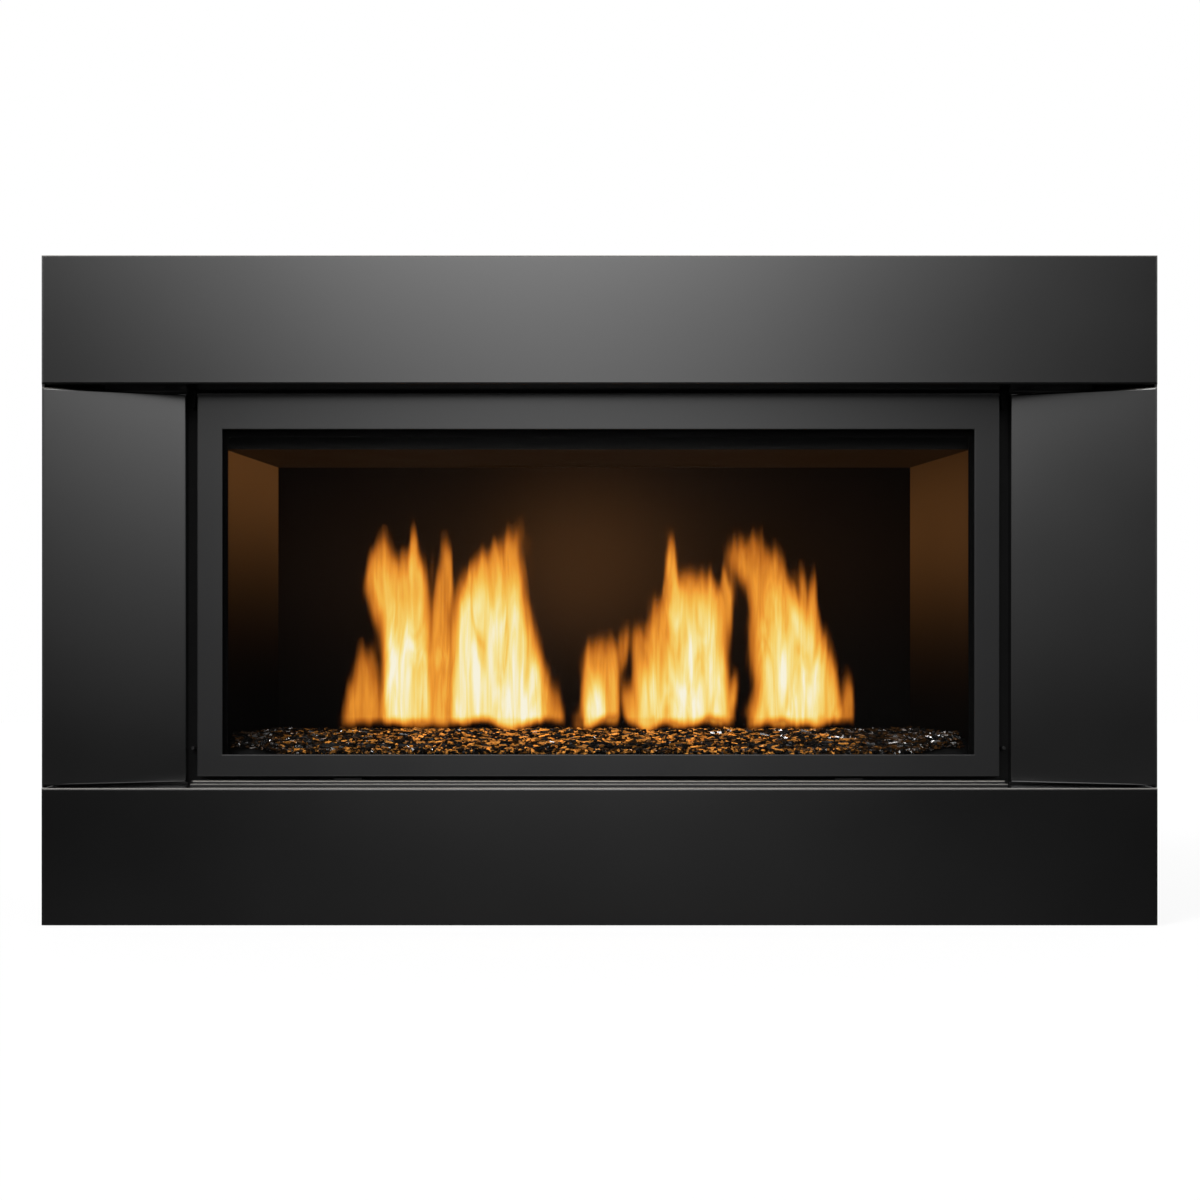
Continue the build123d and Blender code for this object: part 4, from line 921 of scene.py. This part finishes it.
# %% The left flames
SOFT, CRISP = 22.0, 7.0
LEFT_LOBES = (
    (20.0, ((201, -294, -236, 0.34), (226, -290, -238, 0.36), (254, -283, -244, 0.28),
           (278, -276, -248, 0.18), (306, -268, -250, 0.0))),
    (SOFT, ((201, -254, -178, 0.62), (243, -250, -180, 0.62), (289, -248, -182, 0.60),
           (323, -252, -184, 0.56), (346, -262, -186, 0.50), (369, -266, -188, 0.44),
           (388, -244, -190, 0.24), (400, -224, -194, 0.0))),
    (14.0, ((296, -248, -222, 0.0), (340, -262, -222, 0.40), (369, -269, -226, 0.44),
           (392, -264, -227, 0.34), (409, -256, -232, 0.18), (426, -248, -238, 0.0))),
    (CRISP, ((340, -222, -192, 0.46), (380, -215, -196, 0.50), (398, -213, -201, 0.42),
           (415, -211, -203, 0.28), (432, -208, -206, 0.0))),
    (12.0, ((201, -200, -158, 0.50), (260, -195, -160, 0.45), (330, -191, -164, 0.42),
           (357, -186, -166, 0.30), (378, -182, -168, 0.0))),
    (9.0, ((312, -186, -166, 0.0), (350, -186, -160, 0.36), (380, -181, -163, 0.36),
           (398, -179, -166, 0.26), (412, -177, -169, 0.12), (422, -175, -171, 0.0))),
    (SOFT, ((201, -176, -46, 0.70), (243, -174, -49, 0.70), (266, -172, -55, 0.68),
           (289, -170, -62, 0.66), (323, -168, -70, 0.62), (346, -166, -75, 0.57),
           (369, -160, -78, 0.48), (392, -140, -80, 0.38), (404, -122, -81, 0.30),
           (414, -107, -83, 0.20), (424, -98, -85, 0.10), (434, -92, -88, 0.0))),
    (10.0, ((201, -66, -34, 0.42), (226, -60, -36, 0.32), (243, -56, -38, 0.20),
           (258, -50, -42, 0.0))),
    (10.0, ((201, -290, -44, 0.42), (210, -286, -48, 0.30), (222, -280, -54, 0.0))),
)
LEFT_CORES = (
    (11.0, ((204, -240, -202, 0.62), (215, -241, -203, 0.78), (254, -240, -204, 0.80),
           (289, -238, -205, 0.72), (323, -234, -207, 0.50), (350, -230, -210, 0.30),
           (372, -226, -212, 0.0))),
    (7.0, ((208, -207, -187, 0.40), (243, -204, -187, 0.58), (270, -202, -189, 0.35),
           (288, -199, -191, 0.0))),
    (10.0, ((206, -164, -138, 0.25), (289, -163, -137, 0.35), (346, -159, -130, 0.38),
           (366, -154, -128, 0.0))),
    (20.0, ((204, -160, -56, 0.46), (254, -162, -64, 0.46), (300, -160, -74, 0.42),
           (340, -154, -80, 0.34), (366, -134, -83, 0.20), (384, -120, -85, 0.0))),
    (5.0, ((203, -138, -120, 0.70), (232, -143, -123, 1.0), (266, -146, -129, 1.0),
           (300, -146, -133, 0.9), (318, -143, -137, 0.5), (330, -141, -139, 0.0))),
    (12.0, ((206, -112, -68, 0.55), (240, -112, -78, 0.78), (266, -110, -84, 0.66),
           (290, -107, -89, 0.40), (312, -104, -92, 0.0))),
)

# %% The middle flames
SMALL_LOBES = (
    (11.0, ((201, -18, 28, 0.60), (243, -18, 28, 0.54), (272, -17, 29, 0.40), (289, -16, 29, 0.28),
           (300, -13, 25, 0.14), (310, -10, 20, 0.0))),
    (8.0, ((255, 14, 34, 0.0), (275, 17, 37, 0.20), (292, 20, 41, 0.24), (303, 24, 45, 0.20),
           (312, 28, 46, 0.10), (320, 32, 46, 0.0))),
    (7.0, ((201, -30, -12, 0.22), (214, -27, -13, 0.12), (224, -24, -16, 0.0))),
)
SMALL_CORES = (
    (8.0, ((203, -12, 12, 0.75), (226, -11, 11, 0.85), (250, -8, 9, 0.45), (266, -5, 7, 0.0))),
)
MIDDLE_LOBES = (
    (9.0, ((201, 32, 62, 0.50), (226, 27, 60, 0.44), (243, 25, 58, 0.30), (254, 28, 54, 0.0))),
    (12.0, ((201, 38, 86, 0.60), (254, 41, 84, 0.58), (277, 40, 82, 0.46), (300, 38, 80, 0.36),
           (311, 38, 78, 0.24), (320, 40, 76, 0.10), (328, 44, 72, 0.0))),
    (14.0, ((255, 58, 88, 0.0), (290, 54, 88, 0.40), (311, 54, 88, 0.38), (334, 57, 86, 0.28),
           (346, 62, 84, 0.14), (354, 66, 80, 0.0))),
    (SOFT, ((201, 56, 156, 0.66), (254, 62, 153, 0.66), (289, 69, 153, 0.64), (323, 72, 155, 0.60),
           (346, 74, 156, 0.52), (357, 76, 153, 0.42), (369, 80, 137, 0.28), (377, 84, 132, 0.12),
           (384, 90, 126, 0.0))),
    (9.0, ((285, 76, 112, 0.0), (325, 73, 110, 0.52), (346, 75, 103, 0.54), (369, 76, 97, 0.50),
           (380, 78, 94, 0.44), (398, 81, 90, 0.32), (415, 82, 87, 0.18), (428, 84, 86, 0.0))),
    (9.0, ((290, 126, 152, 0.0), (325, 128, 156, 0.46), (346, 132, 159, 0.46),
           (357, 136, 158, 0.40), (369, 140, 154, 0.30), (381, 144, 151, 0.14),
           (390, 146, 149, 0.0))),
    (6.0, ((206, 144, 154, 0.0), (226, 146, 159, 0.30), (243, 149, 162, 0.35),
           (256, 153, 163, 0.14), (264, 157, 162, 0.0))),
    (10.0, ((201, 34, 158, 0.42), (210, 38, 156, 0.30), (222, 44, 150, 0.0))),
)
MIDDLE_CORES = (
    (9.0, ((204, 47, 77, 0.45), (243, 49, 73, 0.66), (262, 52, 70, 0.40), (278, 55, 67, 0.0))),
    (18.0, ((204, 80, 150, 0.42), (266, 84, 148, 0.46), (311, 86, 144, 0.42), (340, 88, 134, 0.28),
           (360, 91, 118, 0.12), (370, 94, 110, 0.0))),
    (10.0, ((206, 88, 124, 0.40), (254, 88, 122, 0.52), (289, 91, 116, 0.46), (323, 92, 110, 0.30),
           (350, 95, 105, 0.0))),
)

# %% The right flames
RIGHT_LOBES = (
    (SOFT, ((201, 168, 288, 0.60), (226, 175, 284, 0.62), (243, 178, 280, 0.62),
           (266, 176, 275, 0.60), (289, 174, 269, 0.58), (311, 173, 261, 0.54),
           (334, 173, 242, 0.52), (346, 172, 234, 0.50), (357, 167, 229, 0.46),
           (369, 160, 224, 0.42), (381, 154, 219, 0.38), (392, 148, 214, 0.33),
           (404, 145, 207, 0.26), (415, 152, 201, 0.14), (428, 162, 194, 0.0))),
    (9.0, ((270, 232, 262, 0.0), (300, 231, 260, 0.42), (323, 234, 256, 0.44),
           (346, 238, 252, 0.34), (357, 240, 250, 0.24), (369, 243, 248, 0.10),
           (380, 245, 247, 0.0))),
    (8.0, ((308, 226, 244, 0.0), (340, 226, 244, 0.28), (357, 228, 241, 0.24),
           (374, 230, 238, 0.14), (388, 232, 235, 0.0))),
    (6.0, ((201, 274, 294, 0.36), (232, 278, 293, 0.30), (254, 283, 292, 0.20),
           (266, 286, 290, 0.0))),
    (10.0, ((201, 168, 294, 0.42), (210, 170, 292, 0.28), (222, 176, 286, 0.0))),
)
RIGHT_CORES = (
    (18.0, ((204, 192, 266, 0.40), (254, 191, 262, 0.42), (289, 191, 252, 0.40),
           (323, 193, 238, 0.30), (346, 197, 229, 0.14), (360, 202, 222, 0.0))),
    (9.0, ((204, 200, 228, 0.55), (243, 201, 226, 0.66), (277, 202, 224, 0.42),
           (300, 204, 222, 0.2), (314, 206, 220, 0.0))),
    (8.0, ((204, 237, 261, 0.36), (254, 237, 257, 0.34), (289, 236, 252, 0.2),
           (308, 236, 248, 0.0))),
)

# %% Light the burner
LOBES = LEFT_LOBES + SMALL_LOBES + MIDDLE_LOBES + RIGHT_LOBES
CORES = LEFT_CORES + SMALL_CORES + MIDDLE_CORES + RIGHT_CORES
flame_sheet("flames", LOBES, CORES, CREST_Y - 0.013, flame_front, stir=3.0, seed=0.0)
flame_sheet("flame_veil", LOBES, CORES, CREST_Y + 0.012, flame_veil, stir=9.0, seed=2.1)

# %% [markdown]
# ## The studio
# The camera sees a plain white floor and a plain white world. To every other ray the floor is dark,
# with a dim strip down its middle, because satin paint mirrors the floor in front of it and the
# real paint is dark there.

# %% Floor
FLOOR_REACH = 6.0
STRIP_REACH = 0.52
FLOOR_DARK, STRIP_GREY = (0.003, 0.003, 0.003), (0.098, 0.098, 0.098)


def studio_floor():
    """A pale floor that stays white in the picture and still takes a shadow."""
    floor_white = Finish("studio_floor_white")
    seen = floor_white.node("ShaderNodeLightPath", output="Is Camera Ray")
    speck = floor_white.noise(40.0, 2.0)
    pale = floor_white.mix(speck, (0.78, 0.78, 0.78), (0.82, 0.82, 0.82))
    x, _, _ = floor_white.split(floor_white.place())
    dim = floor_white.mix(floor_white.bell(x / STRIP_REACH), FLOOR_DARK, STRIP_GREY)
    floor_white.surface({
        "Base Color": floor_white.mix(seen, dim, pale),
        "Roughness": 0.9,
        "Specular IOR Level": 0.0,
    })
    glow = floor_white.node("ShaderNodeEmission", {}, {"Color": (1, 1, 1, 1), "Strength": 1.0})
    plain = Wire(floor_white, floor_white.shader.outputs[0])
    blend = floor_white.node("ShaderNodeMixShader", {}, {0: seen * 0.9, 1: plain, 2: glow})
    floor_white.tree.links.new(blend.socket, floor_white.output.inputs["Surface"])
    mesh = bpy.data.meshes.new("studio_floor")
    signs = ((-1, -1), (1, -1), (1, 1), (-1, 1))
    corners = [(x * FLOOR_REACH, y * FLOOR_REACH, 0) for x, y in signs]
    mesh.from_pydata(corners, [], [(0, 1, 2, 3)])
    mesh.materials.append(floor_white.material)
    floor = bpy.data.objects.new("studio_floor", mesh)
    bpy.context.scene.collection.objects.link(floor)


studio_floor()

# %% [markdown]
# The room's own light comes from the world. Satin paint shows a blurred picture of what stands
# before it, so soft lights are painted into the world: one high behind the camera, which makes the
# bright middle of the top panel, a weak one below it for the door, one on each side for the sloping
# side panels, and a wide one overhead. They fade towards the floor, and so the metal darkens
# downwards. A plain glow from both sides and from behind shows the rest of the object.
#
# Metal and glass mirror the white background where it stands behind the object. Before the object
# the room stays dark to them, and only the soft lights show.

# %% The world's lights
ROOM_LIGHT = 0.0074
# each light: azimuth towards +X, half width, strength, elevation and half height, in degrees
SOFT_LIGHTS = (
    (-1.0, 10.3, 7.3, 21.0, 9.2),
    (37.6, 6.6, 10.8, 25.1, 13.3),
    (-41.5, 8.4, 35.7, 35.0, 16.3),
    (0.5, 8.1, 1.1, 3.5, 6.5),
    (0.0, 400.0, 1.2, 90.0, 30.0),
)
# the same light on both sides of the object
SIDE_LIGHT = (90.0, 24.0, 1.0, 20.0, 30.0)
BACK_LIGHT = 1.0
# how far behind the object, as a share of the direction, the background is at full white
BACKGROUND_EDGE = 0.1


# %% White world with soft lights
def studio_world():
    """White to the camera, and a dark room with soft lights to everything before the object."""
    world = bpy.data.worlds.new("studio_world")
    bpy.context.scene.world = world
    room = Graph(world)
    direction = room.node("ShaderNodeTexCoord", output="Generated")
    x, y, z = room.split(direction)
    azimuth = room.node("ShaderNodeMath", {"operation": "ARCTAN2"}, {0: x, 1: y * -1.0})
    elevation = room.node("ShaderNodeMath", {"operation": "ARCSINE"}, {0: z})
    glow = ROOM_LIGHT + y.clamp() * BACK_LIGHT
    lights = [(azimuth, *light) for light in SOFT_LIGHTS] + [(abs(azimuth), *SIDE_LIGHT)]
    for turn, middle, width, strength, height, depth in lights:
        sideways = (turn - math.radians(middle)) / math.radians(width)
        upwards = (elevation - math.radians(height)) / math.radians(depth)
        glow = glow + room.bell(sideways, upwards) * strength
    lit = room.node("ShaderNodeBackground", {}, {"Strength": glow})
    white = room.node("ShaderNodeBackground", {}, {"Strength": 1.0})
    for background in (lit, white):
        background.socket.node.inputs["Color"].default_value = (1.0, 1.0, 1.0, 1.0)
    rays = room.node("ShaderNodeLightPath").socket.node.outputs
    glossy, through = Wire(room, rays["Is Glossy Ray"]), Wire(room, rays["Is Transmission Ray"])
    mirrored = (glossy + through) * room.spread(y, 0.0, BACKGROUND_EDGE)
    seen = (Wire(room, rays["Is Camera Ray"]) + mirrored).clamp()
    choice = room.node("ShaderNodeMixShader", {}, {0: seen, 1: lit, 2: white})
    room.node("ShaderNodeOutputWorld", {}, {"Surface": choice})


studio_world()
print("world and floor ready")


# %% [markdown]
# ## Light from the fire
# One warm lamp over the bed stands in for the light that the flames throw down on the chips. It is
# hidden from the camera and from reflections.

# %% Fire light
def fire_lamp(name, place, size, power, spread, colour):
    """A warm lamp that shines straight down."""
    lamp = bpy.data.lights.new(name, "AREA")
    lamp.shape = "RECTANGLE"
    lamp.size, lamp.size_y = size
    lamp.energy = power
    lamp.color = colour
    lamp.spread = math.radians(spread)
    box = bpy.data.objects.new(name, lamp)
    bpy.context.scene.collection.objects.link(box)
    box.location = place
    box.visible_camera = False
    box.visible_glossy = False
    return box


media_glow = fire_lamp(
    "media_glow", place=(0.0, -0.085, 0.33), size=(0.54, 0.05), power=0.35, spread=110,
    colour=(1.0, 0.60, 0.28),
)
print("fire lamp over the bed:", media_glow.data.energy, "W")
